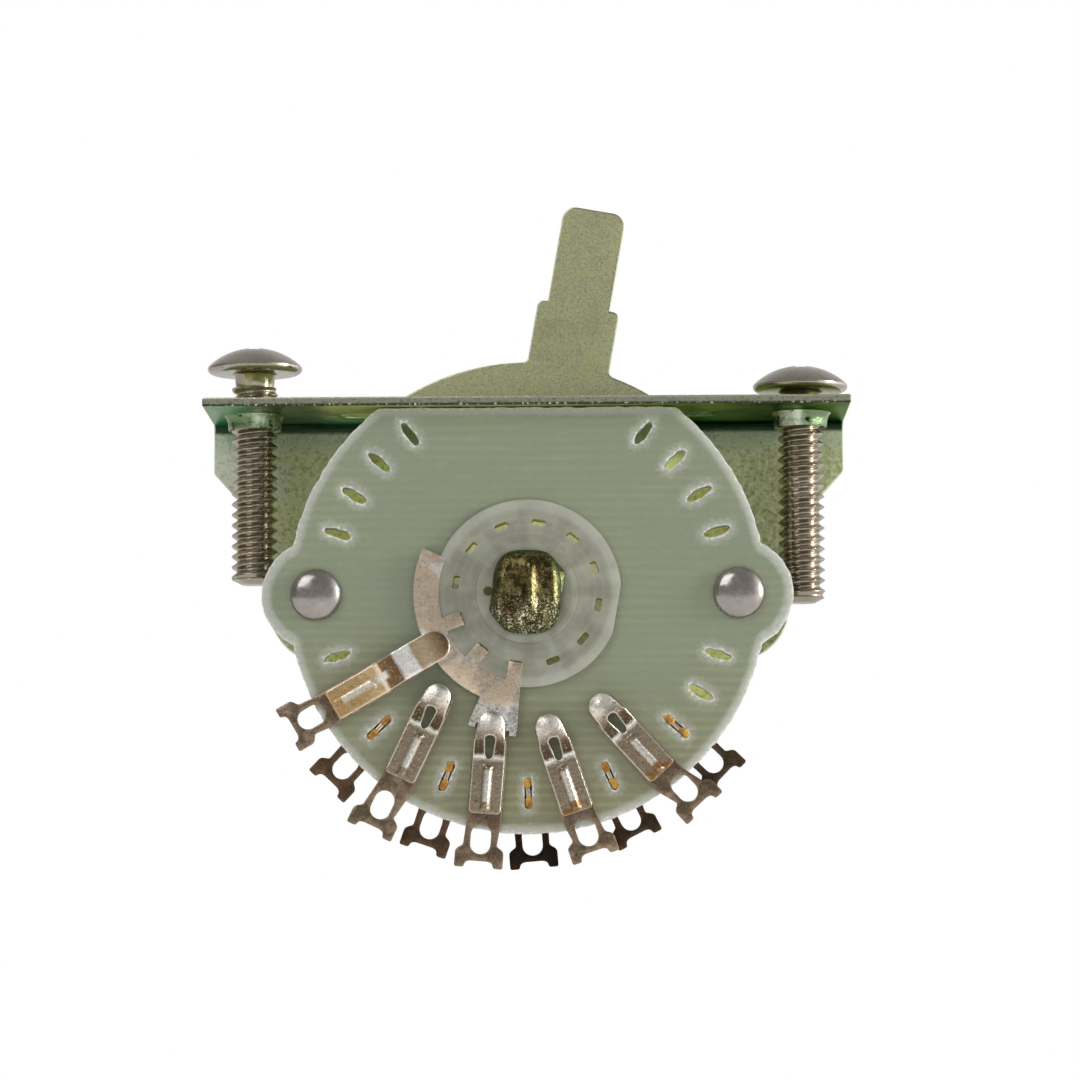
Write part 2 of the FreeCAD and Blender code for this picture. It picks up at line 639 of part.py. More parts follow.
short_leaf = make_short_leaf()
for face, clips in (("front", SHORT_CLIPS), ("rear", REAR_CLIPS)):
    for i, (turn, skew, reach, sway) in enumerate(clips, 1):
        terminal = make_terminal(False, reach, sway)
        spot = (turn, SLOT_CIRCLE_R, face == "front", skew)
        save(f"{face}_terminal_{i}", placed(terminal, *spot))
        save(f"{face}_leaf_{i}", placed(short_leaf, *spot))
turn, skew, reach, sway = COMMON_CLIP
common = make_terminal(True, reach, sway)
save("common_terminal", placed(common, turn, SLOT_CIRCLE_R, True, skew))
save("common_leaf", placed(make_common_leaf(), turn, SLOT_CIRCLE_R, True, skew))
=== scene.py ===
"""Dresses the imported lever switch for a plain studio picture.

Sizes are in millimetres and turned into metres where a mesh is made. Turns are in degrees,
clockwise from straight up, seen from the wafer's side, about the lever's axis.
"""
import logging
from collections.abc import Callable, Sequence
from dataclasses import dataclass, field
from enum import Enum
from math import atan2, cos, exp, pi, radians, sin, sqrt

import bmesh
import bpy
import numpy as np
from mathutils import Matrix, Vector, noise
from mathutils.geometry import delaunay_2d_cdt


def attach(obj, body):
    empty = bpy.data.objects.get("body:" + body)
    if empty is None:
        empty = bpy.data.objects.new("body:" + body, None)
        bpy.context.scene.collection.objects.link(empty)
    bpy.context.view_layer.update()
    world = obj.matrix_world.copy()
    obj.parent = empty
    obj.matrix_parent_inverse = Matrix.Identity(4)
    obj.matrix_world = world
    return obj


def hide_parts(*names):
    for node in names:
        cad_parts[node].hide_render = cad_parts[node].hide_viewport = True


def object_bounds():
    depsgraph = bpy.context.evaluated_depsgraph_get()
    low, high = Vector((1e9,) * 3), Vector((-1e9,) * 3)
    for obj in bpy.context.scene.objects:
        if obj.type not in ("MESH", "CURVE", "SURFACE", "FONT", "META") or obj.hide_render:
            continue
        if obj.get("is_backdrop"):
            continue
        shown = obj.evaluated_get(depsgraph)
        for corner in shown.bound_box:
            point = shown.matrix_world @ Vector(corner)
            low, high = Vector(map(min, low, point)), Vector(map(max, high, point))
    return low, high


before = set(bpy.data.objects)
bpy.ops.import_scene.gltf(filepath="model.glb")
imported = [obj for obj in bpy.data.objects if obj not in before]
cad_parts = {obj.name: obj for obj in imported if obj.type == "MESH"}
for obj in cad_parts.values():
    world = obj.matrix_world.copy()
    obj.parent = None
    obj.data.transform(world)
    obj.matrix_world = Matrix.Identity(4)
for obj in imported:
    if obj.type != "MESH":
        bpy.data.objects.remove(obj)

log = logging.getLogger("switch")

# The source's own sizes, in millimetres and degrees.
MM = 0.001
AXIS_Z = -14.7
SCREW_X = 41.275 / 2
LEFT_RAISED = 2.55
RIGHT_RAISED = 0.95
RIVET_X = 15.72
WAFER_FRONT = -5.3
WAFER_BACK = -3.8
WAFER_T = 1.5
SLOT_CIRCLE_R = 14.84
SLOT_PITCH = 12.0

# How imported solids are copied, in metres for the first and degrees for the turns.
WELD = 2e-6
FLAT_TURN = 1.2
SHARP_TURN = 28
CORNER_TURN = 60
CORNER_R = 0.17

# Points that are looked at together, and the seed of everything frayed.
BATCH = 400
FRAY_SEED = 11

Point2 = tuple[float, float]
Bend = tuple[float, float, float, float]
Colour = tuple[float, float, float, float]
Placing = Callable[[float, float, float], Vector]


def tone(r: int, g: int, b: int) -> Colour:
    """Turn a colour as seen on screen, 0 to 255, into a linear one.

    Args:
        r: Red.
        g: Green.
        b: Blue.

    Returns:
        The linear colour with an alpha of one.
    """
    parts = []
    for value in (r, g, b):
        s = value / 255
        parts.append(s / 12.92 if s <= 0.04045 else ((s + 0.055) / 1.055) ** 2.4)
    return parts[0], parts[1], parts[2], 1.0


class Paint:
    """One material's node tree while it is being mixed."""

    def __init__(self, name: str) -> None:
        """Start a material with one shader and object coordinates in millimetres.

        Args:
            name: The material's name.
        """
        self.material = bpy.data.materials.new(name)
        self.material.use_nodes = True
        self.nodes = self.material.node_tree.nodes
        self.links = self.material.node_tree.links
        self.nodes.clear()
        self.shader = self.nodes.new("ShaderNodeBsdfPrincipled")
        output = self.nodes.new("ShaderNodeOutputMaterial")
        self.links.new(self.shader.outputs[0], output.inputs[0])
        coords = self.nodes.new("ShaderNodeTexCoord")
        scale = self.nodes.new("ShaderNodeVectorMath")
        scale.operation = "SCALE"
        scale.inputs["Scale"].default_value = 1 / MM
        self.links.new(coords.outputs["Object"], scale.inputs[0])
        self.mm = scale.outputs[0]
        split = self.nodes.new("ShaderNodeSeparateXYZ")
        self.links.new(self.mm, split.inputs[0])
        self.x, self.y, self.z = split.outputs

    def put(self, socket: bpy.types.NodeSocket, value: object) -> None:
        """Link a socket to another one, or give it a constant.

        Args:
            socket: The input to fill.
            value: Another node's output, or a constant.
        """
        if isinstance(value, bpy.types.NodeSocket):
            self.links.new(value, socket)
        else:
            socket.default_value = value

    def fix(self, **values: object) -> None:
        """Set the shader's sockets, named with underscores for spaces."""
        for key, value in values.items():
            self.put(self.shader.inputs[key.replace("_", " ")], value)

    def cloud(self, scale: float, detail: float = 4.0, rough: float = 0.55,
              stretch: tuple[float, float, float] = (1, 1, 1), shift: float = 0.0,
              warp: float = 0.0) -> bpy.types.NodeSocket:
        """A cloudy pattern with so many features per millimetre.

        Args:
            scale: Features per millimetre.
            detail: Octaves.
            rough: Strength of the finer octaves.
            stretch: Extra scale along each axis.
            shift: Moves the pattern, so that two don't coincide.
            warp: Distortion.

        Returns:
            The pattern's value, from about 0 to 1.
        """
        mapping = self.nodes.new("ShaderNodeMapping")
        mapping.inputs["Scale"].default_value = stretch
        mapping.inputs["Location"].default_value = (shift, shift * 0.7, shift * 1.3)
        self.links.new(self.mm, mapping.inputs["Vector"])
        node = self.nodes.new("ShaderNodeTexNoise")
        node.inputs["Scale"].default_value = scale
        self.links.new(mapping.outputs[0], node.inputs["Vector"])
        node.inputs["Detail"].default_value = detail
        node.inputs["Roughness"].default_value = rough
        node.inputs["Distortion"].default_value = warp
        return node.outputs["Fac"]

    def fit(self, value: bpy.types.NodeSocket, low: float, high: float, to_low: float = 0.0,
            to_high: float = 1.0) -> bpy.types.NodeSocket:
        """Map a range smoothly to another, clamped.

        Args:
            value: The socket to map.
            low: Start of its range.
            high: End of its range.
            to_low: Result at the start.
            to_high: Result at the end.

        Returns:
            The mapped value.
        """
        node = self.nodes.new("ShaderNodeMapRange")
        node.interpolation_type = "SMOOTHSTEP"
        for key, number in (("From Min", low), ("From Max", high), ("To Min", to_low),
                            ("To Max", to_high)):
            node.inputs[key].default_value = number
        self.links.new(value, node.inputs["Value"])
        return node.outputs["Result"]

    def math(self, kind: str, a: object, b: object = 0.0) -> bpy.types.NodeSocket:
        """Join two values with a named operation.

        Args:
            kind: Blender's name of the operation.
            a: First value.
            b: Second value.

        Returns:
            The result.
        """
        node = self.nodes.new("ShaderNodeMath")
        node.operation = kind
        self.put(node.inputs[0], a)
        self.put(node.inputs[1], b)
        return node.outputs[0]

    def mix(self, share: object, a: object, b: object) -> bpy.types.NodeSocket:
        """Blend two colours.

        Args:
            share: How much of the second.
            a: First colour.
            b: Second colour.

        Returns:
            The blended colour.
        """
        node = self.nodes.new("ShaderNodeMix")
        node.data_type = "RGBA"
        self.put(node.inputs[0], share)
        self.put(node.inputs[6], a)
        self.put(node.inputs[7], b)
        return node.outputs[2]

    def ramp(self, value: bpy.types.NodeSocket,
             stops: Sequence[tuple[float, Colour]]) -> bpy.types.NodeSocket:
        """Turn a value into a colour through the given stops.

        Args:
            value: The socket to map, from 0 to 1.
            stops: Places and their colours, in order.

        Returns:
            The colour.
        """
        node = self.nodes.new("ShaderNodeValToRGB")
        elements = node.color_ramp.elements
        while len(elements) < len(stops):
            elements.new(0.5)
        for element, (place, colour) in zip(elements, stops):
            element.position = place
            element.color = colour
        self.links.new(value, node.inputs[0])
        return node.outputs[0]

    def made(self, name: str) -> bpy.types.NodeSocket:
        """Read a value that the piece's mesh carries.

        Args:
            name: The value's name.

        Returns:
            The value.
        """
        node = self.nodes.new("ShaderNodeAttribute")
        node.attribute_name = name
        return node.outputs["Fac"]

    def edge(self, width: float, share: float = 1.0) -> bpy.types.NodeSocket:
        """How near a formed sheet's cut a point is: the share at the cut, none beyond the width."""
        return self.fit(self.made("rim"), width, 0.0, 0.0, share)

    def away(self, x: object, z: object) -> bpy.types.NodeSocket:
        """Distance in millimetres from a line along Y.

        Args:
            x: How far the point is from the line along X.
            z: The line's height.

        Returns:
            The distance.
        """
        up = self.math("SUBTRACT", self.z, z)
        total = self.math("ADD", self.math("MULTIPLY", x, x), self.math("MULTIPLY", up, up))
        return self.math("SQRT", total)

    def relief(self, *layers: tuple[bpy.types.NodeSocket, float]) -> None:
        """Stack bumps on the shader, each a height and its depth in millimetres.

        Args:
            *layers: Each a height and its depth in millimetres.
        """
        normal = None
        for height, depth in layers:
            node = self.nodes.new("ShaderNodeBump")
            node.inputs["Strength"].default_value = 1.0
            node.inputs["Distance"].default_value = depth * MM
            self.links.new(height, node.inputs["Height"])
            if normal is not None:
                self.links.new(normal, node.inputs["Normal"])
            normal = node.outputs[0]
        self.links.new(normal, self.shader.inputs["Normal"])


@dataclass(frozen=True)
class Chromate:
    """Chromate on the bracket: glossy green under the top, grainy olive on the rear plate."""

    name: str = "olive_chromate"
    front: Colour = tone(172, 180, 104)
    back: Colour = tone(30, 116, 78)
    deep: Colour = tone(12, 38, 20)
    olive: Colour = tone(194, 200, 146)
    pale: Colour = tone(200, 206, 184)
    sage: Colour = tone(126, 152, 104)
    lit: Colour = tone(210, 214, 122)
    cut: Colour = tone(152, 152, 134)
    shade: Colour = tone(44, 50, 34)
    bright: Colour = tone(226, 228, 206)

    def build(self) -> bpy.types.Material:
        """Mix the chromate.

        Returns:
            The material.
        """
        p = Paint(self.name)
        cloud = p.cloud(0.22, 4, 0.6, (1, 1, 1.4), 3.0, 0.4)
        mottle = p.cloud(1.1, 5, 0.65, (1, 1, 1), 9.0, 0.6)
        grain = p.cloud(3.6, 3, 0.75)
        wander = p.math("MULTIPLY", p.math("SUBTRACT", cloud, 0.5), 7.0)
        # Under the top plate: green towards the fold, painted shade beside the left collar, and
        # dark at the right.
        under = p.mix(p.fit(p.math("ADD", p.y, wander), -2.0, 4.5), self.front, self.back)
        under = p.mix(p.fit(p.math("ADD", p.x, wander), 12.0, 18.0, 0.0, 0.92), under, self.deep)
        collar_shade_distance = p.math("ABSOLUTE", p.math("ADD", p.x, 17.9))
        collar_shade_distance = p.math("ADD", collar_shade_distance, p.math("MULTIPLY", p.math("SUBTRACT", mottle, 0.5), 5.0))
        under = p.mix(p.fit(p.x, -19.8, -20.8, 0.0, 0.85), under, self.back)
        under = p.mix(p.fit(collar_shade_distance, 3.2, 1.8, 0.0, 0.85), under, self.deep)
        # The rear plate's inner face: a painted glow of light behind the wafer, and painted shade
        # under the fold.
        rear = p.mix(p.fit(p.math("ADD", p.x, wander), -18.5, -21.5), self.olive, self.pale)
        plain = p.mix(p.fit(grain, 0.62, 0.3, 0.12, 0.5), self.olive, self.shade)
        plain = p.mix(p.fit(cloud, 0.4, 0.7, 0.0, 0.35), plain, self.sage)
        plain = p.mix(p.fit(mottle, 0.5, 0.75, 0.0, 0.3), plain, self.pale)
        # Painted light: the glow behind the wafer that shows through the slots.
        rear = p.mix(p.fit(p.away(p.x, AXIS_Z), 18.2, 16.4), rear, self.lit)
        rear = p.mix(p.fit(p.x, 12.0, 18.0, 0.0, 0.36), rear, self.shade)
        rear = p.mix(p.fit(p.z, -3.6, -1.4, 0.0, 0.6), rear, self.pale)
        teal = p.math("MULTIPLY", p.fit(p.z, -3.2, -1.6), p.fit(grain, 0.48, 0.6, 0.0, 0.75))
        rear = p.mix(teal, rear, self.back)
        rear = p.mix(p.fit(grain, 0.52, 0.3, 0.0, 0.55), rear, self.shade)
        rear = p.mix(p.fit(grain, 0.5, 0.7, 0.0, 0.7), rear, self.pale)
        # Painted shade on the plate behind the wafer's top, under the fold.
        shade_behind_wafer_top = p.math("MULTIPLY", p.fit(p.z, -4.4, -2.4),
                        p.fit(p.math("ABSOLUTE", p.x), 14.5, 12.0, 0.0, 0.5))
        rear = p.mix(shade_behind_wafer_top, rear, self.deep)
        # Join the faces: the fold, with painted shade in its inner corner, the top and the rear
        # plate's outer face.
        colour = p.mix(p.fit(p.z, -0.8, -1.3), under, rear)
        fold_shade = p.math("MULTIPLY", p.fit(p.y, 4.9, 5.4), p.fit(p.z, -1.45, -1.1))
        colour = p.mix(p.math("MULTIPLY", fold_shade, 0.9), colour, self.deep)
        top = p.mix(p.fit(cloud, 0.35, 0.65, 0.0, 0.7), self.front, self.sage)
        colour = p.mix(p.fit(p.z, -0.5, -0.15), colour, top)
        colour = p.mix(p.fit(p.y, 5.75, 6.2), colour, p.mix(p.fit(p.z, -0.6, -1.6), top, plain))
        rim = p.made("rim")
        # Painted highlight along the broken edges.
        colour = p.mix(p.math("MULTIPLY", rim, 0.55), colour, self.bright)
        # The top plate's sheared front: a painted highlight along its top, darker with bright
        # flecks below.
        low = p.fit(p.z, -0.4, -0.56)
        cut = p.mix(p.fit(grain, 0.5, 0.34, 0.0, 0.5), self.cut, self.shade)
        cut = p.mix(p.math("MULTIPLY", low, 0.9), cut, self.shade)
        cut = p.mix(p.math("MULTIPLY", low, p.fit(grain, 0.56, 0.64)), cut, self.bright)
        cut = p.mix(p.fit(p.z, -0.16, -0.03), cut, self.bright)
        colour = p.mix(p.fit(p.y, -6.18, -6.3), colour, cut)
        metal = p.math("MULTIPLY", p.fit(p.z, -1.3, -0.8), p.fit(p.y, -6.28, -6.15))
        metal = p.math("MULTIPLY", metal, p.fit(p.x, -4.0, 12.0, -0.2, 0.42))
        rough = p.fit(p.z, -1.3, -0.8, 0.46, 0.24)
        p.fix(Base_Color=colour, Roughness=rough, Specular_Tint=(0.5, 0.68, 0.36, 1.0),
              Metallic=p.math("MAXIMUM", p.math("ADD", metal, 0.5), rim))
        p.relief((grain, 0.02), (mottle, 0.05))
        return p.material


@dataclass(frozen=True)
class GrainyChromate:
    """Khaki chromate with a fine even grain of several tones, on the lever."""

    name: str = "khaki_chromate"
    khaki: Colour = tone(163, 165, 126)
    dark: Colour = tone(120, 122, 92)
    cool: Colour = tone(124, 134, 128)
    warm: Colour = tone(186, 178, 118)
    pale: Colour = tone(198, 198, 168)
    green: Colour = tone(92, 118, 66)
    lime: Colour = tone(206, 214, 134)

    def build(self) -> bpy.types.Material:
        """Mix the grain, greener on the part of the sector under the bracket's top, with painted
        shade and painted light there.

        Returns:
            The material.
        """
        p = Paint(self.name)
        grain = p.cloud(10.0, 3, 0.7)
        hue = p.cloud(7.0, 2, 0.5, shift=5.0)
        cloud = p.cloud(0.3, 4, 0.6, shift=2.0)
        colour = p.mix(p.fit(hue, 0.5, 0.66, 0.0, 0.6), self.khaki, self.cool)
        colour = p.mix(p.fit(hue, 0.5, 0.36, 0.0, 0.6), colour, self.warm)
        # Painted shade in darker green just under the bracket's top, and painted light in lime
        # lower down.
        shade_and_light_under_top = p.mix(p.fit(p.z, -2.8, -4.6), self.green, self.lime)
        near = p.math("MULTIPLY", p.fit(p.z, -0.8, -2.0, 0.0, 0.7), p.fit(p.z, -9.5, -8.0))
        colour = p.mix(near, colour, shade_and_light_under_top)
        colour = p.mix(p.fit(grain, 0.5, 0.32, 0.0, 0.6), colour, self.dark)
        colour = p.mix(p.fit(grain, 0.54, 0.7, 0.0, 0.5), colour, self.pale)
        colour = p.mix(p.fit(cloud, 0.5, 0.7, 0.0, 0.25), colour, self.dark)
        rim = p.made("rim")
        # Painted highlight along the broken edges.
        colour = p.mix(p.math("MULTIPLY", rim, 0.7), colour, self.pale)
        p.fix(Base_Color=colour, Metallic=p.math("ADD", 0.45, p.math("MULTIPLY", rim, 0.55)),
              Roughness=p.math("SUBTRACT", p.fit(grain, 0.3, 0.7, 0.36, 0.54),
                               p.math("MULTIPLY", rim, 0.2)))
        p.relief((grain, 0.018), (cloud, 0.05))
        return p.material


@dataclass(frozen=True)
class WornGold:
    """Gold chromate, hammered, with speckled painted highlights that grow towards the bottom,
    greener round the end's rim.
    """

    name: str
    sheet: bool
    gold: Colour = tone(112, 104, 60)
    brown: Colour = tone(64, 52, 22)
    green: Colour = tone(76, 84, 44)
    dark: Colour = tone(36, 32, 12)
    pale: Colour = tone(244, 240, 214)

    def build(self) -> bpy.types.Material:
        """Mix the gold.

        Returns:
            The material.
        """
        p = Paint(self.name)
        cloud = p.cloud(1.2, 5, 0.65, warp=0.8)
        speck = p.cloud(6.5, 3, 0.7, shift=6.0)
        middle = p.mix(p.fit(cloud, 0.42, 0.58), self.brown, self.gold)
        colour = self.green
        if self.sheet:
            colour = p.mix(p.fit(p.made("rim"), 0.12, 0.55), self.green, middle)
        colour = p.mix(p.fit(speck, 0.47, 0.34, 0.0, 0.8), colour, self.dark)
        # Painted highlights: bright specks, more of them towards the bottom.
        painted_glints = p.math("MULTIPLY", p.fit(speck, 0.52, 0.62), p.fit(p.z, -14.6, -16.3, 0.15, 1.0))
        painted_glints = p.math("MULTIPLY", painted_glints, p.fit(cloud, 0.42, 0.56, 0.3, 1.0))
        colour = p.mix(painted_glints, colour, self.pale)
        p.fix(Base_Color=colour, Metallic=0.88, Roughness=p.fit(cloud, 0.3, 0.7, 0.14, 0.3))
        p.relief((cloud, 0.06), (speck, 0.016))
        return p.material


@dataclass(frozen=True)
class Plate:
    """Silver or nickel plate with tarnish in spots and clouds."""

    name: str
    bright: Colour
    mid: Colour
    stain: Colour
    spots: float = 0.5
    rough: float = 0.25
    cell: float = 1.6
    depth: float = 0.02
    sheet: bool = False
    crystals: float = 0.0

    def build(self) -> bpy.types.Material:
        """Mix the plate, with grey crystals beyond a radius from the lever's axis if one is set.

        Returns:
            The material.
        """
        p = Paint(self.name)
        cloud = p.cloud(self.cell * 0.35, 5, 0.62, warp=0.5)
        speck = p.cloud(self.cell * 2.6, 4, 0.7, shift=7.0)
        fine = p.cloud(9.0, 3, 0.6, shift=1.0)
        colour = p.ramp(cloud, ((0.34, self.mid), (0.5, self.mid), (0.66, self.bright)))
        colour = p.mix(p.fit(speck, 0.46, 0.34, 0.0, self.spots), colour, self.stain)
        colour = p.mix(p.fit(fine, 0.56, 0.72, 0.0, 0.25), colour, self.bright)
        if self.crystals > 0:
            cells = p.cloud(2.6, 2, 0.9, warp=1.5)
            grey = p.ramp(cells, ((0.36, tone(96, 98, 94)), (0.46, tone(186, 188, 184)),
                                  (0.54, tone(206, 206, 200)), (0.66, tone(240, 240, 236))))
            far = p.fit(p.away(p.x, AXIS_Z), self.crystals, self.crystals + 0.7, 0.0, 0.85)
            colour = p.mix(far, colour, grey)
        rim = p.edge(0.12) if self.sheet else p.made("rim")
        # Painted highlight along the cut or broken edges.
        colour = p.mix(p.math("MULTIPLY", rim, 0.5), colour, self.bright)
        low, high = self.rough * 0.8, self.rough * 1.7
        p.fix(Base_Color=colour, Metallic=0.92, Roughness=p.fit(speck, 0.3, 0.65, high, low))
        p.relief((cloud, self.depth * 3), (fine, self.depth * 0.3))
        return p.material


@dataclass(frozen=True)
class LeafPlate:
    """Plate on a spring leaf, whose colour changes along its length.

    The mesh carries the place along the leaf as a value from 0, its inner tip, to 1.
    """

    name: str
    stops: tuple[tuple[float, Colour], ...]
    rib: Colour = tone(232, 228, 218)
    stain: Colour = tone(58, 44, 30)
    pale: Colour = tone(240, 236, 224)
    amber: Colour = tone(150, 104, 48)
    stained: float = 0.0
    spots: float = 0.75
    rough: float = 0.22

    def build(self) -> bpy.types.Material:
        """Mix the plate.

        Returns:
            The material.
        """
        p = Paint(self.name)
        wander = p.cloud(1.4, 4, 0.6, warp=0.4)
        place = p.math("ADD", p.made("along"),
                       p.math("MULTIPLY", p.math("SUBTRACT", wander, 0.5), 0.05))
        colour = p.ramp(place, self.stops)
        speck = p.cloud(3.2, 5, 0.74, shift=4.0)
        fine = p.cloud(7.0, 3, 0.6, shift=2.0)
        middle = p.math("MULTIPLY", p.fit(p.made("rim"), 0.78, 0.95), p.fit(place, 0.5, 0.55))
        colour = p.mix(p.math("MULTIPLY", middle, 0.95), colour, self.rib)
        colour = p.mix(p.fit(speck, 0.47, 0.33, 0.0, self.spots), colour, self.stain)
        colour = p.mix(p.fit(fine, 0.55, 0.72, 0.0, 0.4), colour, self.pale)
        end = p.math("MULTIPLY", p.fit(place, 0.86, 0.93), p.fit(wander, 0.44, 0.56))
        colour = p.mix(p.math("MULTIPLY", end, self.stained), colour, self.amber)
        # Painted highlight along the leaf's side edges, not at its outer end.
        side_highlight = p.math("MULTIPLY", p.edge(0.13, 0.7), p.fit(p.made("along"), 0.985, 0.96, 0.15))
        colour = p.mix(side_highlight, colour, self.pale)
        p.fix(Base_Color=colour, Metallic=0.86,
              Roughness=p.fit(speck, 0.3, 0.65, self.rough * 1.8, self.rough))
        p.relief((speck, 0.025), (wander, 0.06))
        return p.material


@dataclass(frozen=True)
class GlassBoard:
    """Greenish glass and resin board, streaked across and whitened along its cut edges."""

    name: str = "glass_board"
    green: Colour = tone(136, 145, 123)
    low: Colour = tone(131, 130, 101)
    yellow: Colour = tone(156, 155, 118)
    white: Colour = tone(217, 218, 213)

    def build(self) -> bpy.types.Material:
        """Mix the board.

        Returns:
            The material.
        """
        p = Paint(self.name)
        cloud = p.cloud(0.12, 3, 0.5, shift=2.0)
        height = p.math("ADD", p.z, p.math("MULTIPLY", p.math("SUBTRACT", cloud, 0.5), 14.0))
        colour = p.mix(p.fit(height, -16.0, -31.0), self.green, self.low)
        wave = p.cloud(0.3, 3, 0.5, (0.4, 0.4, 1.6), 5.0)
        phase = p.math("ADD", p.math("MULTIPLY", p.z, 2 * pi / 0.72), p.math("MULTIPLY", wave, 7.0))
        stripes = p.math("SINE", phase)
        strength = p.fit(p.cloud(0.25, 3, 0.6, (0.5, 0.5, 1.2), 11.0), 0.35, 0.65, 0.12, 0.5)
        colour = p.mix(p.math("MULTIPLY", p.fit(stripes, -0.5, 0.9), strength), colour,
                       self.yellow)
        fleck = p.cloud(1.6, 5, 0.7, shift=8.0)
        colour = p.mix(p.fit(fleck, 0.5, 0.78, 0.0, 0.07), colour, self.white)
        ragged = p.cloud(3.2, 4, 0.7, shift=3.0)
        reach = p.math("ADD", p.made("rim"), p.fit(ragged, 0.3, 0.7, -0.14, 0.2))
        halo = p.math("ADD", p.fit(reach, 0.2, 0.02, 0.0, 0.6),
                      p.fit(reach, 0.85, 0.1, 0.0, 0.3))
        colour = p.mix(halo, colour, self.white)
        outer = p.math("MAXIMUM", p.fit(p.away(p.x, AXIS_Z), 17.0, 17.6),
                       p.fit(p.z, AXIS_Z + 13.2, AXIS_Z + 13.8))
        outer = p.math("MULTIPLY", outer, p.fit(p.made("rim"), 0.9, 0.5))
        outer = p.math("MULTIPLY", outer, p.fit(ragged, 0.36, 0.6, 0.1, 0.42))
        colour = p.mix(outer, colour, self.white)
        p.fix(Base_Color=colour, Roughness=p.fit(fleck, 0.3, 0.7, 0.42, 0.6),
              Subsurface_Weight=0.12, Subsurface_Scale=0.0006, IOR=1.5)
        p.relief((stripes, 0.004), (ragged, 0.02), (fleck, 0.015))
        return p.material


@dataclass(frozen=True)
class MilkyNylon:
    """Milky moulded nylon with faint turned rings and darker spokes."""

    name: str = "milky_nylon"
    milk: Colour = tone(155, 156, 141)
    shade: Colour = tone(121, 120, 104)
    white: Colour = tone(206, 208, 198)
    olive: Colour = tone(236, 228, 140)
    keyway: Colour = tone(76, 72, 34)

    def build(self) -> bpy.types.Material:
        """Mix the nylon.

        Returns:
            The material.
        """
        p = Paint(self.name)
        cloud = p.cloud(0.5, 3, 0.55, warp=0.3)
        speck = p.cloud(3.6, 4, 0.7, shift=3.0)
        far = p.away(p.x, AXIS_Z)
        rings = p.math("SINE", p.math("MULTIPLY", far, 2 * pi / 0.55))
        angle = p.math("ARCTAN2", p.math("SUBTRACT", p.z, AXIS_Z), p.x)
        spokes = p.math("SINE", p.math("ADD", p.math("MULTIPLY", angle, 12.0), 1.2))
        colour = p.mix(p.fit(cloud, 0.42, 0.64, 0.0, 0.45), self.milk, self.shade)
        colour = p.mix(p.fit(spokes, 0.1, 1.0, 0.0, 0.3), colour, self.shade)
        colour = p.mix(p.fit(rings, 0.3, 1.0, 0.0, 0.05), colour, self.white)
        colour = p.mix(p.fit(speck, 0.6, 0.76, 0.0, 0.4), colour, self.white)
        colour = p.mix(p.fit(far, 6.15, 6.45, 0.0, 0.25), colour, self.white)
        # Painted highlight along the broken edges.
        colour = p.mix(p.math("MULTIPLY", p.made("rim"), 0.85), colour, self.white)
        # Painted light: an olive glow on the faces behind the rotor's front, in the ring of slots.
        painted_light_in_slots = p.math("MULTIPLY", p.fit(p.y, -5.66, -5.6), p.fit(far, 6.1, 5.9))
        colour = p.mix(p.math("MULTIPLY", painted_light_in_slots, p.fit(far, 4.5, 4.7)), colour, self.olive)
        # Painted shade: a dark spot where the keyway's gap lies in shadow.
        notch = p.fit(p.away(p.math("ADD", p.x, 2.9), AXIS_Z + 0.1), 0.4, 0.3)
        colour = p.mix(notch, colour, self.keyway)
        p.fix(Base_Color=colour, Roughness=p.fit(speck, 0.3, 0.7, 0.3, 0.5),
              Subsurface_Weight=0.22, Subsurface_Scale=0.0008, IOR=1.52)
        p.relief((cloud, 0.04), (rings, 0.0015), (speck, 0.008))
        return p.material


@dataclass(frozen=True)
class Amber:
    """Beads of set resin."""

    name: str = "amber_resin"
    amber: Colour = tone(212, 158, 48)
    dark: Colour = tone(150, 98, 26)

    def build(self) -> bpy.types.Material:
        """Mix the resin.

        Returns:
            The material.
        """
        p = Paint(self.name)
        cloud = p.cloud(1.6, 4, 0.6)
        colour = p.mix(p.fit(cloud, 0.35, 0.65), self.dark, self.amber)
        p.fix(Base_Color=colour, Roughness=p.fit(cloud, 0.3, 0.7, 0.12, 0.3),
              Subsurface_Weight=0.3, Subsurface_Scale=0.0004, Coat_Weight=0.4)
        p.relief((cloud, 0.06))
        return p.material


@dataclass(frozen=True)
class FloorPaint:
    """Pale floor in two faint tones."""

    name: str = "pale_floor"

    def build(self) -> bpy.types.Material:
        """Mix the floor.

        Returns:
            The material.
        """
        p = Paint(self.name)
        cloud = p.cloud(0.02, 2, 0.5)
        p.fix(Base_Color=p.mix(p.fit(cloud, 0.3, 0.7), tone(243, 243, 241), tone(248, 248, 247)),
              Roughness=0.85)
        return p.material


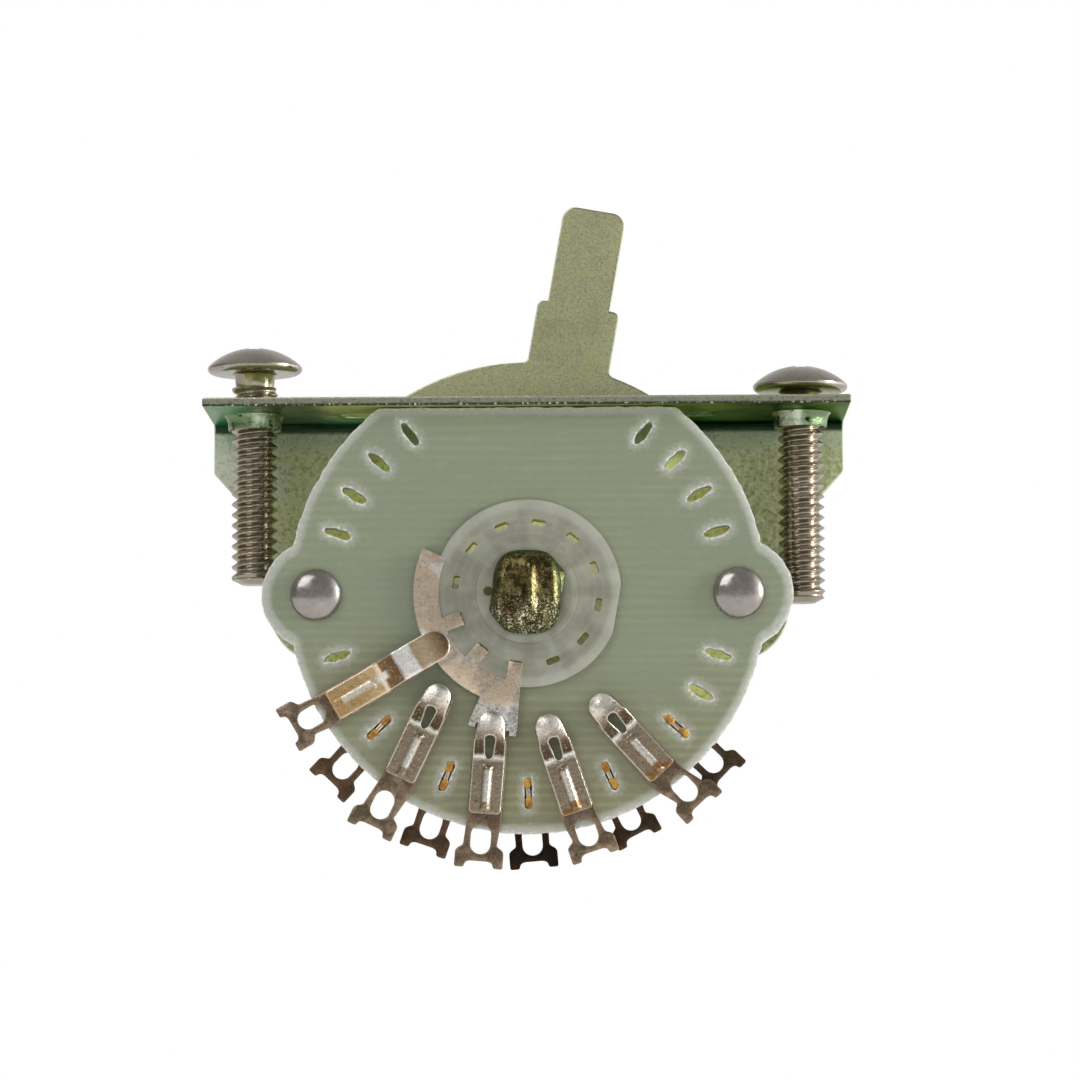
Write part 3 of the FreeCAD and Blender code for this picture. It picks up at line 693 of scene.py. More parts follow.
class Recipe:
    """A Geometry Nodes tree with named inputs for its sizes."""

    def __init__(self, name: str, sizes: dict[str, float]) -> None:
        """Open the tree.

        Args:
            name: The tree's name.
            sizes: Its inputs with their usual values.
        """
        self.tree = bpy.data.node_groups.new(name, "GeometryNodeTree")
        face = self.tree.interface
        face.new_socket("Geometry", in_out="INPUT", socket_type="NodeSocketGeometry")
        face.new_socket("Geometry", in_out="OUTPUT", socket_type="NodeSocketGeometry")
        for key, value in sizes.items():
            face.new_socket(key, in_out="INPUT", socket_type="NodeSocketFloat")
            face.items_tree[key].default_value = value
        self.start = self.tree.nodes.new("NodeGroupInput")
        self.end = self.tree.nodes.new("NodeGroupOutput")

    def put(self, socket: bpy.types.NodeSocket, value: object) -> None:
        """Link a socket to another one, or give it a constant.

        Args:
            socket: The input to fill.
            value: Another node's output, or a constant.
        """
        if isinstance(value, bpy.types.NodeSocket):
            self.tree.links.new(value, socket)
        else:
            socket.default_value = value

    def add(self, kind: str, *values: object, **settings: object) -> bpy.types.Node:
        """Add a node, with its first inputs and its settings.

        Args:
            kind: Blender's name of the node.
            *values: For its first inputs. None leaves an input as it is.
            **settings: Its properties, by name.

        Returns:
            The node.
        """
        node = self.tree.nodes.new(kind)
        for key, value in settings.items():
            setattr(node, key, value)
        for socket, value in zip(node.inputs, values):
            if value is not None:
                self.put(socket, value)
        return node

    def math(self, kind: str, a: object, b: object = 0.0,
             clamp: bool = False) -> bpy.types.NodeSocket:
        """Join two values with a named operation."""
        return self.add("ShaderNodeMath", a, b, operation=kind, use_clamp=clamp).outputs[0]

    def close(self, geometry: bpy.types.NodeSocket, material: bpy.types.Material) -> None:
        """End the tree with real geometry in one material.

        Args:
            geometry: The tree's result.
            material: Its material.
        """
        real = self.add("GeometryNodeRealizeInstances", geometry).outputs[0]
        paint = self.add("GeometryNodeSetMaterial")
        self.put(paint.inputs["Geometry"], real)
        paint.inputs["Material"].default_value = material
        self.put(self.end.inputs[0], paint.outputs[0])

    def run(self, piece: bpy.types.Object, sizes: dict[str, float]) -> bpy.types.Object:
        """Work the tree on a piece and keep the plain result.

        Args:
            piece: The object to work on.
            sizes: Values for the tree's inputs, by name.

        Returns:
            The same object, with the finished mesh and no modifier.
        """
        worker = piece.modifiers.new("recipe", "NODES")
        worker.node_group = self.tree
        for item in self.tree.interface.items_tree:
            if item.in_out == "INPUT" and item.name in sizes:
                worker[item.identifier] = float(sizes[item.name])
        seen = piece.evaluated_get(bpy.context.evaluated_depsgraph_get())
        mesh = bpy.data.meshes.new_from_object(seen)
        piece.modifiers.remove(worker)
        piece.data = mesh
        return piece


def linked(name: str, mesh: bpy.types.Mesh) -> bpy.types.Object:
    """Put a mesh into the scene as an object at the origin.

    Args:
        name: The object's name.
        mesh: Its mesh, with its place in it.

    Returns:
        The object.
    """
    piece = bpy.data.objects.new(name, mesh)
    bpy.context.scene.collection.objects.link(piece)
    return piece


def smoothed(mesh: bpy.types.Mesh, degrees: float) -> None:
    """Shade smooth, with hard edges where faces turn by more than so many degrees."""
    mesh.shade_smooth()
    mesh.set_sharp_from_angle(angle=radians(degrees))


def stamped(node: str, name: str, bevel: float, finish: bpy.types.Material,
            hard: float = 24.0, ring: Point2 = (0.0, 0.0)) -> bpy.types.Object:
    """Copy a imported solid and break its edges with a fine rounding.

    Args:
        node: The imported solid.
        name: The new piece's name.
        bevel: Width of the rounding.
        finish: Its material.
        hard: Turn between faces that stays a hard edge, in degrees.
        ring: Between these radii, edges that run along Y are rounded more, as slots' corners are.

    Returns:
        The piece, whose rounded strips carry the value "rim".
    """
    bm = bmesh.new()
    bm.from_mesh(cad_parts[node].data)
    rim = bm.faces.layers.float.new("rim")
    bmesh.ops.remove_doubles(bm, verts=bm.verts, dist=WELD)
    bmesh.ops.dissolve_limit(bm, angle_limit=radians(FLAT_TURN), verts=bm.verts, edges=bm.edges)
    corners = []
    for e in bm.edges:
        spot = (e.verts[0].co + e.verts[1].co) / 2 / MM
        along = abs(e.verts[0].co.y - e.verts[1].co.y) > 0.99 * e.calc_length()
        if along and ring[0] < sqrt(spot.x ** 2 + (spot.z - AXIS_Z) ** 2) < ring[1]:
            if len(e.link_faces) == 2 and e.calc_face_angle(0) > radians(CORNER_TURN):
                corners.append(e)
    if corners:
        bmesh.ops.bevel(bm, geom=corners, offset=CORNER_R * MM, offset_type="OFFSET", segments=3,
                        profile=0.5, clamp_overlap=True, affect="EDGES")
    sharp = [e for e in bm.edges
             if len(e.link_faces) == 2 and e.calc_face_angle(0) > radians(SHARP_TURN)]
    cut = bmesh.ops.bevel(bm, geom=sharp, offset=bevel * MM, offset_type="OFFSET", segments=2,
                          profile=0.5, clamp_overlap=True, affect="EDGES")
    for face in cut["faces"]:
        face[rim] = 1.0
    bmesh.ops.triangulate(bm, faces=[f for f in bm.faces if len(f.verts) > 4])
    mesh = bpy.data.meshes.new(name)
    bm.to_mesh(mesh)
    bm.free()
    mesh.materials.clear()
    mesh.materials.append(finish)
    smoothed(mesh, hard)
    return linked(name, mesh)


def lathe(profile: Sequence[Point2], around: int, place: Placing,
          ring: bool = False) -> bmesh.types.BMesh:
    """Turn a profile of (radius, height) pairs into a closed mesh.

    Args:
        profile: The pairs, from pole to pole. A radius of zero is a pole.
        around: Steps round the axis.
        place: Moves a local point to its place.
        ring: Whether the profile closes on itself, without poles.

    Returns:
        The mesh.
    """
    bm = bmesh.new()
    rows = []
    for radius, height in profile:
        if radius < 1e-6:
            rows.append([bm.verts.new(place(0.0, 0.0, height))])
            continue
        row = []
        for i in range(around):
            a = 2 * pi * i / around
            row.append(bm.verts.new(place(radius * cos(a), radius * sin(a), height)))
        rows.append(row)
    for low, high in zip(rows, rows[1:] + rows[:1] if ring else rows[1:]):
        for i in range(around):
            j = (i + 1) % around
            if len(low) == 1 and len(high) == 1:
                break
            if len(low) == 1:
                bm.faces.new((low[0], high[j], high[i]))
            elif len(high) == 1:
                bm.faces.new((low[i], low[j], high[0]))
            else:
                bm.faces.new((low[i], low[j], high[j], high[i]))
    bmesh.ops.recalc_face_normals(bm, faces=bm.faces)
    return bm


def finished(bm: bmesh.types.BMesh, name: str, finish: bpy.types.Material,
             hard: float = 30.0) -> bpy.types.Object:
    """Make an object from a mesh under construction, in one material.

    Args:
        bm: The mesh, which is freed.
        name: The object's name.
        finish: Its material.
        hard: Turn between faces that stays a hard edge, in degrees.

    Returns:
        The object.
    """
    mesh = bpy.data.meshes.new(name)
    bm.to_mesh(mesh)
    bm.free()
    mesh.materials.append(finish)
    smoothed(mesh, hard)
    return linked(name, mesh)


class Outline:
    """Closed 2D lines and what is done to them before a sheet is cut."""

    @staticmethod
    def area(points: Sequence[Point2]) -> float:
        """Signed area, positive for a line that runs anticlockwise.

        Args:
            points: The line.

        Returns:
            The area.
        """
        total = 0.0
        for (x0, y0), (x1, y1) in zip(points, list(points[1:]) + [points[0]]):
            total += x0 * y1 - x1 * y0
        return total / 2

    @staticmethod
    def eased(points: Sequence[Point2], radius: float, steps: int = 4) -> list[Point2]:
        """Round every corner.

        Args:
            points: The corners.
            radius: How far before a corner the rounding starts.
            steps: Points in each rounding, less one.

        Returns:
            The rounded line.
        """
        out = []
        n = len(points)
        for i in range(n):
            before, corner, after = (Vector(points[(i + k) % n]) for k in (-1, 0, 1))
            a = before - corner
            b = after - corner
            reach_a = min(radius, a.length * 0.48)
            reach_b = min(radius, b.length * 0.48)
            start = corner + a.normalized() * reach_a
            end = corner + b.normalized() * reach_b
            for k in range(steps + 1):
                t = k / steps
                p = start * (1 - t) ** 2 + corner * (2 * t * (1 - t)) + end * t ** 2
                out.append((p.x, p.y))
        return out

    @staticmethod
    def divided(points: Sequence[Point2], step: float) -> list[Point2]:
        """Add points so that no stretch is longer than the step.

        Args:
            points: The line.
            step: Longest stretch.

        Returns:
            The line with more points.
        """
        out = []
        for a, b in zip(points, list(points[1:]) + [points[0]]):
            length = sqrt((b[0] - a[0]) ** 2 + (b[1] - a[1]) ** 2)
            if length < 1e-5:
                continue
            count = max(1, int(length / step + 0.999))
            for k in range(count):
                t = k / count
                out.append((a[0] + (b[0] - a[0]) * t, a[1] + (b[1] - a[1]) * t))
        return out

    @staticmethod
    def pill(length: float, width: float, steps: int = 8, at: Point2 = (0, 0),
             turn: float = 0.0) -> list[Point2]:
        """A round-ended slot along X, turned anticlockwise and moved.

        Args:
            length: Over its ends.
            width: Across it.
            steps: Points in each end, less one.
            at: Its middle.
            turn: In radians.

        Returns:
            Its line.
        """
        r = width / 2
        half = length / 2 - r
        out = []
        for s, start in ((1, -90), (-1, 90)):
            for i in range(steps + 1):
                a = radians(start + 180 * i / steps)
                u, v = s * half + r * cos(a), r * sin(a)
                out.append((at[0] + u * cos(turn) - v * sin(turn),
                            at[1] + u * sin(turn) + v * cos(turn)))
        return out

    @staticmethod
    def frayed(points: Sequence[Point2], amount: float, grain: float,
               seed: float) -> list[Point2]:
        """Shift each point a little, as a rough cut does.

        Args:
            points: The line.
            amount: Largest shift.
            grain: Bends of the fray per millimetre.
            seed: Makes one line differ from another.

        Returns:
            The rough line.
        """
        out = []
        for x, y in points:
            spot = Vector((x * grain, y * grain, seed))
            shift = noise.noise_vector(spot) * amount
            out.append((x + shift.x, y + shift.y))
        return out


class Sheet:
    """A piece of sheet cut to an outline and formed by a height rule."""

    def __init__(self, outer: Sequence[Point2], holes: Sequence[Sequence[Point2]],
                 thickness: float, height: Callable[[float, float], float],
                 pitch: float, rounding: float, fray: float = 0.0) -> None:
        """Keep the sheet's sizes.

        Args:
            outer: Its outline.
            holes: The lines of its openings.
            thickness: Of the sheet.
            height: Gives the lower face's height at a point.
            pitch: Spacing of the mesh between the outlines.
            rounding: Width of the broken edge.
            fray: Roughness of the cut wall.
        """
        self.loops = [list(outer if Outline.area(outer) > 0 else outer[::-1])]
        self.loops += [list(h if Outline.area(h) < 0 else h[::-1]) for h in holes]
        self.thickness = thickness
        self.height = height
        self.pitch = pitch
        self.rounding = rounding
        self.fray = fray

    def _segments(self) -> np.ndarray:
        """All stretches of the outlines, as rows of x0, y0, x1, y1.

        Returns:
            The rows.
        """
        rows = []
        for loop in self.loops:
            for a, b in zip(loop, loop[1:] + [loop[0]]):
                rows.append((*a, *b))
        return np.array(rows)

    @staticmethod
    def _inside(points: np.ndarray, lines: np.ndarray) -> np.ndarray:
        """Tell which points lie on the sheet.

        Args:
            points: Rows of x, y.
            lines: The stretches of the outlines.

        Returns:
            True for each point on the sheet.
        """
        out = np.zeros(len(points), bool)
        for k in range(0, len(points), BATCH):
            x, y = points[k:k + BATCH, 0:1], points[k:k + BATCH, 1:2]
            x0, y0, x1, y1 = lines.T
            spans = (y0 > y) != (y1 > y)
            rise = np.where(y1 == y0, 1e-12, y1 - y0)
            hits = spans & (x < x0 + (y - y0) * (x1 - x0) / rise)
            out[k:k + BATCH] = hits.sum(1) % 2 == 1
        return out

    @staticmethod
    def _reach(points: np.ndarray, lines: np.ndarray) -> np.ndarray:
        """Distance of each point from the nearest cut.

        Args:
            points: Rows of x, y.
            lines: The stretches of the outlines.

        Returns:
            The distances.
        """
        out = np.zeros(len(points))
        for k in range(0, len(points), BATCH):
            p = points[k:k + BATCH, None, :]
            a, b = lines[None, :, :2], lines[None, :, 2:]
            ab = b - a
            t = ((p - a) * ab).sum(2) / np.maximum((ab ** 2).sum(2), 1e-12)
            near = a + np.clip(t, 0, 1)[..., None] * ab
            out[k:k + BATCH] = np.sqrt(((p - near) ** 2).sum(2)).min(1)
        return out

    def _edge_points(self, lines: np.ndarray) -> np.ndarray:
        """Points beside every cut, where its broken edge ends.

        Args:
            lines: The stretches of the outlines.

        Returns:
            Rows of x, y.
        """
        ring = []
        for loop in self.loops:
            n = len(loop)
            for i in range(n):
                a, b, c = Vector(loop[i - 1]), Vector(loop[i]), Vector(loop[(i + 1) % n])
                way = (b - a).normalized() + (c - b).normalized()
                if way.length > 0.3:
                    way.normalize()
                    ring.append((b.x - way.y * self.rounding, b.y + way.x * self.rounding))
        ring = np.array(ring)
        return ring[self._inside(ring, lines) & (self._reach(ring, lines) > self.rounding * 0.8)]

    def _field_points(self, lines: np.ndarray, points: Sequence[Point2]) -> np.ndarray:
        """Points spread evenly over the sheet, in rows that are set off by half a pitch.

        Args:
            lines: The stretches of the outlines.
            points: The outlines' points.

        Returns:
            Rows of x, y.
        """
        flat = np.array(points)
        low, high = flat.min(0), flat.max(0)
        across = np.arange(low[0], high[0], self.pitch)
        rows = []
        for j, y in enumerate(np.arange(low[1], high[1], self.pitch * 0.87)):
            xs = across + (self.pitch / 2 if j % 2 else 0.0)
            rows.append(np.stack([xs, np.full(len(xs), y)], 1))
        grid = np.concatenate(rows)
        inner = self._inside(grid, lines)
        inner &= self._reach(grid, lines) > self.rounding + self.pitch * 0.45
        return grid[inner]

    def _plan(self) -> tuple[list[Vector], list[tuple[int, ...]], np.ndarray]:
        """Triangulate the sheet's plan.

        Returns:
            Its points, its triangles and each point's distance from the cut.
        """
        lines = self._segments()
        points: list[Point2] = []
        edges = []
        for loop in self.loops:
            first = len(points)
            points += loop
            edges += [(first + i, first + (i + 1) % len(loop)) for i in range(len(loop))]
        extra = np.concatenate([self._edge_points(lines), self._field_points(lines, points)])
        both = [Vector(p) for p in points] + [Vector(p) for p in extra]
        found, _, faces, _, _, _ = delaunay_2d_cdt(both, edges, [], 0, 1e-6)
        middles = np.array([[sum(found[i][0] for i in f) / 3, sum(found[i][1] for i in f) / 3]
                            for f in faces])
        on = self._inside(middles, lines)
        faces = [tuple(f) for f, kept in zip(faces, on) if kept]
        return found, faces, self._reach(np.array([tuple(v) for v in found]), lines)

    def build(self, name: str, place: Placing, finish: bpy.types.Material,
              hard: float = 36.0) -> bpy.types.Object:
        """Make the sheet's solid.

        Args:
            name: The piece's name.
            place: Moves a local point to its place.
            finish: Its material.
            hard: Turn between faces that stays a hard edge, in degrees.

        Returns:
            The piece, with the values "rim", the distance from the cut, and "along".
        """
        plan, faces, reach = self._plan()
        us = [p[0] for p in plan]
        low_u, high_u = min(us), max(us)
        bm = bmesh.new()
        rim = bm.verts.layers.float.new("rim")
        along = bm.verts.layers.float.new("along")

        def vert(u: float, v: float, w: float, away: float) -> bmesh.types.BMVert:
            """Add one point with its values.

            Args:
                u: Along the sheet.
                v: Across it.
                w: Its height.
                away: Its distance from the cut.

            Returns:
                The point.
            """
            out = bm.verts.new(place(u, v, w))
            out[rim] = away
            out[along] = (u - low_u) / (high_u - low_u)
            return out

        bottom, top = [], []
        for (u, v), away in zip(plan, reach):
            base = self.height(u, v)
            soft = self.rounding * 0.7 if away < 1e-4 else 0.0
            bottom.append(vert(u, v, base + soft, away))
            top.append(vert(u, v, base + self.thickness - soft, away))
        used: dict[tuple[int, int], int] = {}
        for a, b, c in faces:
            bm.faces.new((top[a], top[b], top[c]))
            bm.faces.new((bottom[c], bottom[b], bottom[a]))
            for pair in ((a, b), (b, c), (c, a)):
                used[pair] = used.get(pair, 0) + 1
        rim_pairs = [pair for pair in used if (pair[1], pair[0]) not in used]
        middle: dict[int, bmesh.types.BMVert] = {}
        for a, b in rim_pairs:
            if self.fray <= 0:
                bm.faces.new((top[b], top[a], bottom[a], bottom[b]))
                continue
            for i in (a, b):
                if i not in middle:
                    u, v = plan[i]
                    shift = noise.noise_vector(Vector((u * 3, v * 3, 5))) * self.fray
                    w = self.height(u, v) + self.thickness * (0.5 + 0.3 * shift.z / self.fray)
                    middle[i] = vert(u + shift.x, v + shift.y, w, 0.0)
            bm.faces.new((top[b], top[a], middle[a], middle[b]))
            bm.faces.new((middle[b], middle[a], bottom[a], bottom[b]))
        loose = [v for v in bm.verts if not v.link_faces]
        bmesh.ops.delete(bm, geom=loose, context="VERTS")
        bmesh.ops.recalc_face_normals(bm, faces=bm.faces)
        return finished(bm, name, finish, hard)


def straight(x: float, y: float, z: float) -> Vector:
    """A point given in the frame's own millimetres."""
    return Vector((x, y, z)) * MM


class Face(Enum):
    """The wafer's faces: where each lies along Y, and which way is out of it."""

    FRONT = (WAFER_FRONT, -1.0)
    REAR = (WAFER_BACK, 1.0)


@dataclass(frozen=True)
class WaferSpot:
    """A place on the wafer: a slot's turn, the clip's skew and the face it lies on."""

    turn: float
    skew: float
    face: Face

    def place(self, u: float, v: float, w: float) -> Vector:
        """Move a point from the clip's frame: u outwards, w out of the face.

        Args:
            u: Along the clip, outwards.
            v: Across the clip.
            w: Out of the wafer's face.

        Returns:
            The place in metres.
        """
        a = radians(self.turn + self.skew)
        t = radians(self.turn)
        level, s = self.face.value
        return straight(sin(a) * u + s * cos(a) * v + SLOT_CIRCLE_R * sin(t), s * w + level,
                        cos(a) * u - s * sin(a) * v + AXIS_Z + SLOT_CIRCLE_R * cos(t))


def stroke(place: float, points: Sequence[Point2], soft: float) -> float:
    """Height of a bent line at a place, with its bends softened.

    Args:
        place: Where along the line.
        points: (place, height) pairs of its bends, in order.
        soft: Half the length over which a bend is spread.

    Returns:
        The height.
    """
    total = 0.0
    for k in (-1, -0.5, 0, 0.5, 1):
        u = place + k * soft
        if u <= points[0][0]:
            total += points[0][1]
            continue
        for (u0, w0), (u1, w1) in zip(points, points[1:]):
            if u <= u1:
                total += w0 + (w1 - w0) * (u - u0) / (u1 - u0)
                break
        else:
            total += points[-1][1]
    return total / 5


@dataclass
class WaferBoard:
    """The round board with its slots, cut rough at the edges."""

    radius: float = 17.8
    flat: float = 13.95
    ear_x: float = RIVET_X
    ear_r: float = 4.05
    bore_r: float = 6.2
    rivet_r: float = 1.2
    slot: tuple[float, float] = (2.3, 0.54)
    free_slot: tuple[float, float] = (2.05, 0.68)
    free: tuple[int, ...] = (3, 4, 5, 6, 9, 10, 21, 24, 25, 26, 27)
    filled: tuple[int, ...] = (11, 12, 13, 14, 15, 16, 17, 18, 19, 20)
    rim_fray: tuple[float, float, float] = (0.08, 1.9, 0.5)
    free_fray: Point2 = (0.1, 1.9)
    filled_fray: Point2 = (0.05, 2.2)
    wall_fray: float = 0.05
    pitch: float = 0.62
    rounding: float = 0.05

    def outline(self) -> list[Point2]:
        """The board's outer line round the axis.

        Returns:
            The line.
        """
        out = []
        for i in range(720):
            a = 2 * pi * i / 720
            r = self.radius
            off = self.ear_x * sin(a)
            if abs(off) < self.ear_r:
                r = max(r, self.ear_x * abs(cos(a)) + sqrt(self.ear_r ** 2 - off ** 2))
            if r * sin(a) > self.flat:
                r = self.flat / sin(a)
            out.append((r * cos(a), r * sin(a)))
        return Outline.divided(out, 0.22)

    def holes(self) -> list[list[Point2]]:
        """The bore, the rivet holes and the slots.

        Returns:
            Their lines.
        """
        rings = [[(self.bore_r * cos(2 * pi * i / 96), self.bore_r * sin(2 * pi * i / 96))
                  for i in range(96)]]
        for s in (-1, 1):
            rings.append([(s * self.ear_x + self.rivet_r * cos(2 * pi * i / 24),
                           self.rivet_r * sin(2 * pi * i / 24)) for i in range(24)])
        for n in self.free + self.filled:
            t = radians(SLOT_PITCH * n)
            spot = (SLOT_CIRCLE_R * sin(t), SLOT_CIRCLE_R * cos(t))
            if n in self.free:
                line = self.lens(*self.free_slot, spot, pi / 2 - t)
                line = Outline.divided(line, 0.13)
                rings.append(Outline.frayed(line, *self.free_fray, float(n)))
            else:
                line = Outline.pill(*self.slot, 8, spot, pi / 2 - t)
                line = Outline.divided(line, 0.16)
                rings.append(Outline.frayed(line, *self.filled_fray, float(n)))
        return rings

    @staticmethod
    def lens(length: float, width: float, at: Point2, turn: float) -> list[Point2]:
        """A slot with a burr left at both ends, so that it looks like a lens.

        Args:
            length: Over its ends.
            width: Across it.
            at: Its middle.
            turn: In radians.

        Returns:
            Its line.
        """
        out = []
        for i in range(28):
            a = 2 * pi * i / 28
            u = length / 2 * cos(a) / max(abs(cos(a)), 1e-6) ** 0.2
            v = width / 2 * sin(a)
            out.append((at[0] + u * cos(turn) - v * sin(turn),
                        at[1] + u * sin(turn) + v * cos(turn)))
        return out

    def build(self, finish: bpy.types.Material) -> bpy.types.Object:
        """Cut the board.

        Args:
            finish: Its material.

        Returns:
            The board.
        """
        outer = Outline.frayed(self.outline(), *self.rim_fray)
        sheet = Sheet(outer, self.holes(), WAFER_T, lambda u, v: 0.0, self.pitch, self.rounding,
                      self.wall_fray)
        piece = sheet.build(
            "wafer_board", lambda u, v, w: straight(u, WAFER_BACK - w, AXIS_Z + v), finish)
        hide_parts("wafer")
        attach(piece, "frame")
        return piece


@dataclass
class ClipContact:
    """One clip: a flat terminal with its solder lug, and the spring leaf on it."""

    common: bool = False
    reach: float = 0.0
    sway: float = 0.0
    terminal_t: float = 0.3
    leaf_t: float = 0.25
    leaf_w: float = 2.35
    base_w: float = 2.55
    neck_w: float = 2.5
    lug_w: float = 3.6
    shoulder: float = 4.3
    lug_end: float = 5.8
    leaf_end: float = 1.85
    lift: float = 0.5
    dip: float = 0.4
    rib: tuple[float, float, float] = (3.6, 0.72, 0.34)
    opening: tuple[float, float] = (1.75, 0.62)
    opening_u: float = -3.08
    hole: tuple[float, float] = (2.2, 1.5)
    hole_u: float = 3.7
    tab_half: tuple[float, float] = (1.02, 0.15)

    def terminal_outline(self) -> list[Point2]:
        """The terminal's outline, with a lug and two feet.

        Returns:
            The line.
        """
        b, n, g = self.base_w / 2, self.neck_w / 2, self.lug_w / 2
        j = self.leaf_w / 2 - 0.05
        inner = -6.9 if self.common else -5.55
        foot = g - 0.7
        notch = self.lug_end - 0.5
        half = [(inner, j - 0.75), (inner + 0.6, j), (-2.37, b), (2.5, b),
                (self.shoulder - 0.15, n), (self.shoulder + 0.1, g - 0.15),
                (self.shoulder + 0.3, g), (self.lug_end, g), (self.lug_end, foot),
                (notch + 0.12, foot - 0.1), (notch, foot - 0.4)]
        whole = half + [(u, -v) for u, v in reversed(half)]
        bent = [(u + self.reach, v + self.sway) if u > 3 else (u, v) for u, v in whole]
        return Outline.divided(Outline.eased(bent, 0.16, 3), 0.3)

    def opening_line(self) -> list[Point2]:
        """The drop-shaped opening between the clip's legs.

        Returns:
            The line.
        """
        length, width = self.opening
        line = Outline.pill(length, width, 8, (self.opening_u, 0.0))
        drop = [(u, v * (1.12 - 0.3 * (u - self.opening_u))) for u, v in line]
        return Outline.divided(drop, 0.16)

    def terminal(self, name: str, spot: WaferSpot,
                 finish: bpy.types.Material) -> bpy.types.Object:
        """Cut the terminal with its oval solder hole.

        Args:
            name: The piece's name.
            spot: Its place on the wafer.
            finish: Its material.

        Returns:
            The terminal.
        """
        at = (self.hole_u + self.reach * 0.8, self.sway * 0.8)
        holes = [Outline.pill(*self.hole, 12, at)]
        if not self.common:
            holes.append(self.opening_line())
        sheet = Sheet(self.terminal_outline(), holes, self.terminal_t, lambda u, v: 0.0,
                      0.5, 0.035)
        return sheet.build(name, spot.place, finish)

    def tab(self, name: str, spot: WaferSpot, finish: bpy.types.Material) -> bpy.types.Object:
        """Push the tab through its slot, with its end level with the far face.

        Args:
            name: The piece's name.
            spot: Its place on the wafer.
            finish: Its material.

        Returns:
            The tab.
        """
        u, v = self.tab_half
        corners = [(-u, -v), (u, -v), (u, v), (-u, v)]
        line = Outline.divided(Outline.eased(corners, 0.1, 2), 0.3)
        sheet = Sheet(line, [], WAFER_T, lambda u, v: 0.02 - WAFER_T, 0.3, 0.03)
        return sheet.build(name, spot.place, finish)

    def leaf_height(self, u: float, v: float) -> float:
        """Height of the leaf's lower face over the wafer.

        Args:
            u: Along the clip, outwards.
            v: Across the clip.

        Returns:
            The height.
        """
        t0 = self.terminal_t
        high = t0 + self.lift
        if self.common:
            top = high + self.dip
            w = stroke(u, ((-5.4, top), (-3.75, top), (-2.3, t0), (2.0, t0)), 0.14)
            if u < -5.4:
                w = top - self.dip * ((-5.4 - u) / 2.65) ** 2
            w += 0.02 * (1 - (v / 1.15) ** 2) if u < -2.3 else 0.0
        else:
            w = stroke(u, ((-3.75, high), (-3.65, high), (-2.37, t0), (2.0, t0)), 0.12)
            if u < -3.3:
                near = min(1.0, (-3.3 - u) / 0.6)
                fall = max(0.0, (-4.6 - u) / 1.1)
                arch = 0.33 * (1 - min(1.0, (v / 1.03) ** 2) ** 0.8)
                w += near * arch * (1 - 0.6 * fall ** 2) - 0.05 * fall ** 2
        length, width, rise = self.rib
        end = max(0.0, min(1.0, (length / 2 - abs(u)) / 0.2))
        side = max(0.0, min(1.0, (width / 2 - abs(v)) / 0.16))
        return w + rise * end * end * (3 - 2 * end) * side * side * (3 - 2 * side)

    def leaf(self, name: str, spot: WaferSpot, finish: bpy.types.Material) -> bpy.types.Object:
        """Form the spring leaf.

        Args:
            name: The piece's name.
            spot: Its place on the wafer.
            finish: Its material.

        Returns:
            The leaf.
        """
        h = self.leaf_w / 2
        if self.common:
            tip = Outline.pill(22.0, 2.3, 14)
            outline = [(u + 11 - 8.05, v) for u, v in tip if u < 0]
            outline = [(1.85, -1.15)] + sorted(outline, key=lambda p: p[1]) + [(1.85, 1.15)]
            outer = Outline.divided(outline, 0.2)
            holes = []
        else:
            half = [(-5.7, 0.42), (-5.2, 0.9), (-4.6, 1.03), (-3.8, 1.05), (-3.5, h),
                    (self.leaf_end, h)]
            whole = half + [(u, -v) for u, v in reversed(half)]
            outer = Outline.divided(Outline.eased(whole, 0.3, 4), 0.16)
            holes = [self.opening_line()]
        sheet = Sheet(outer, holes, self.leaf_t, self.leaf_height, 0.15, 0.03)
        return sheet.build(name, spot.place, finish, 40)


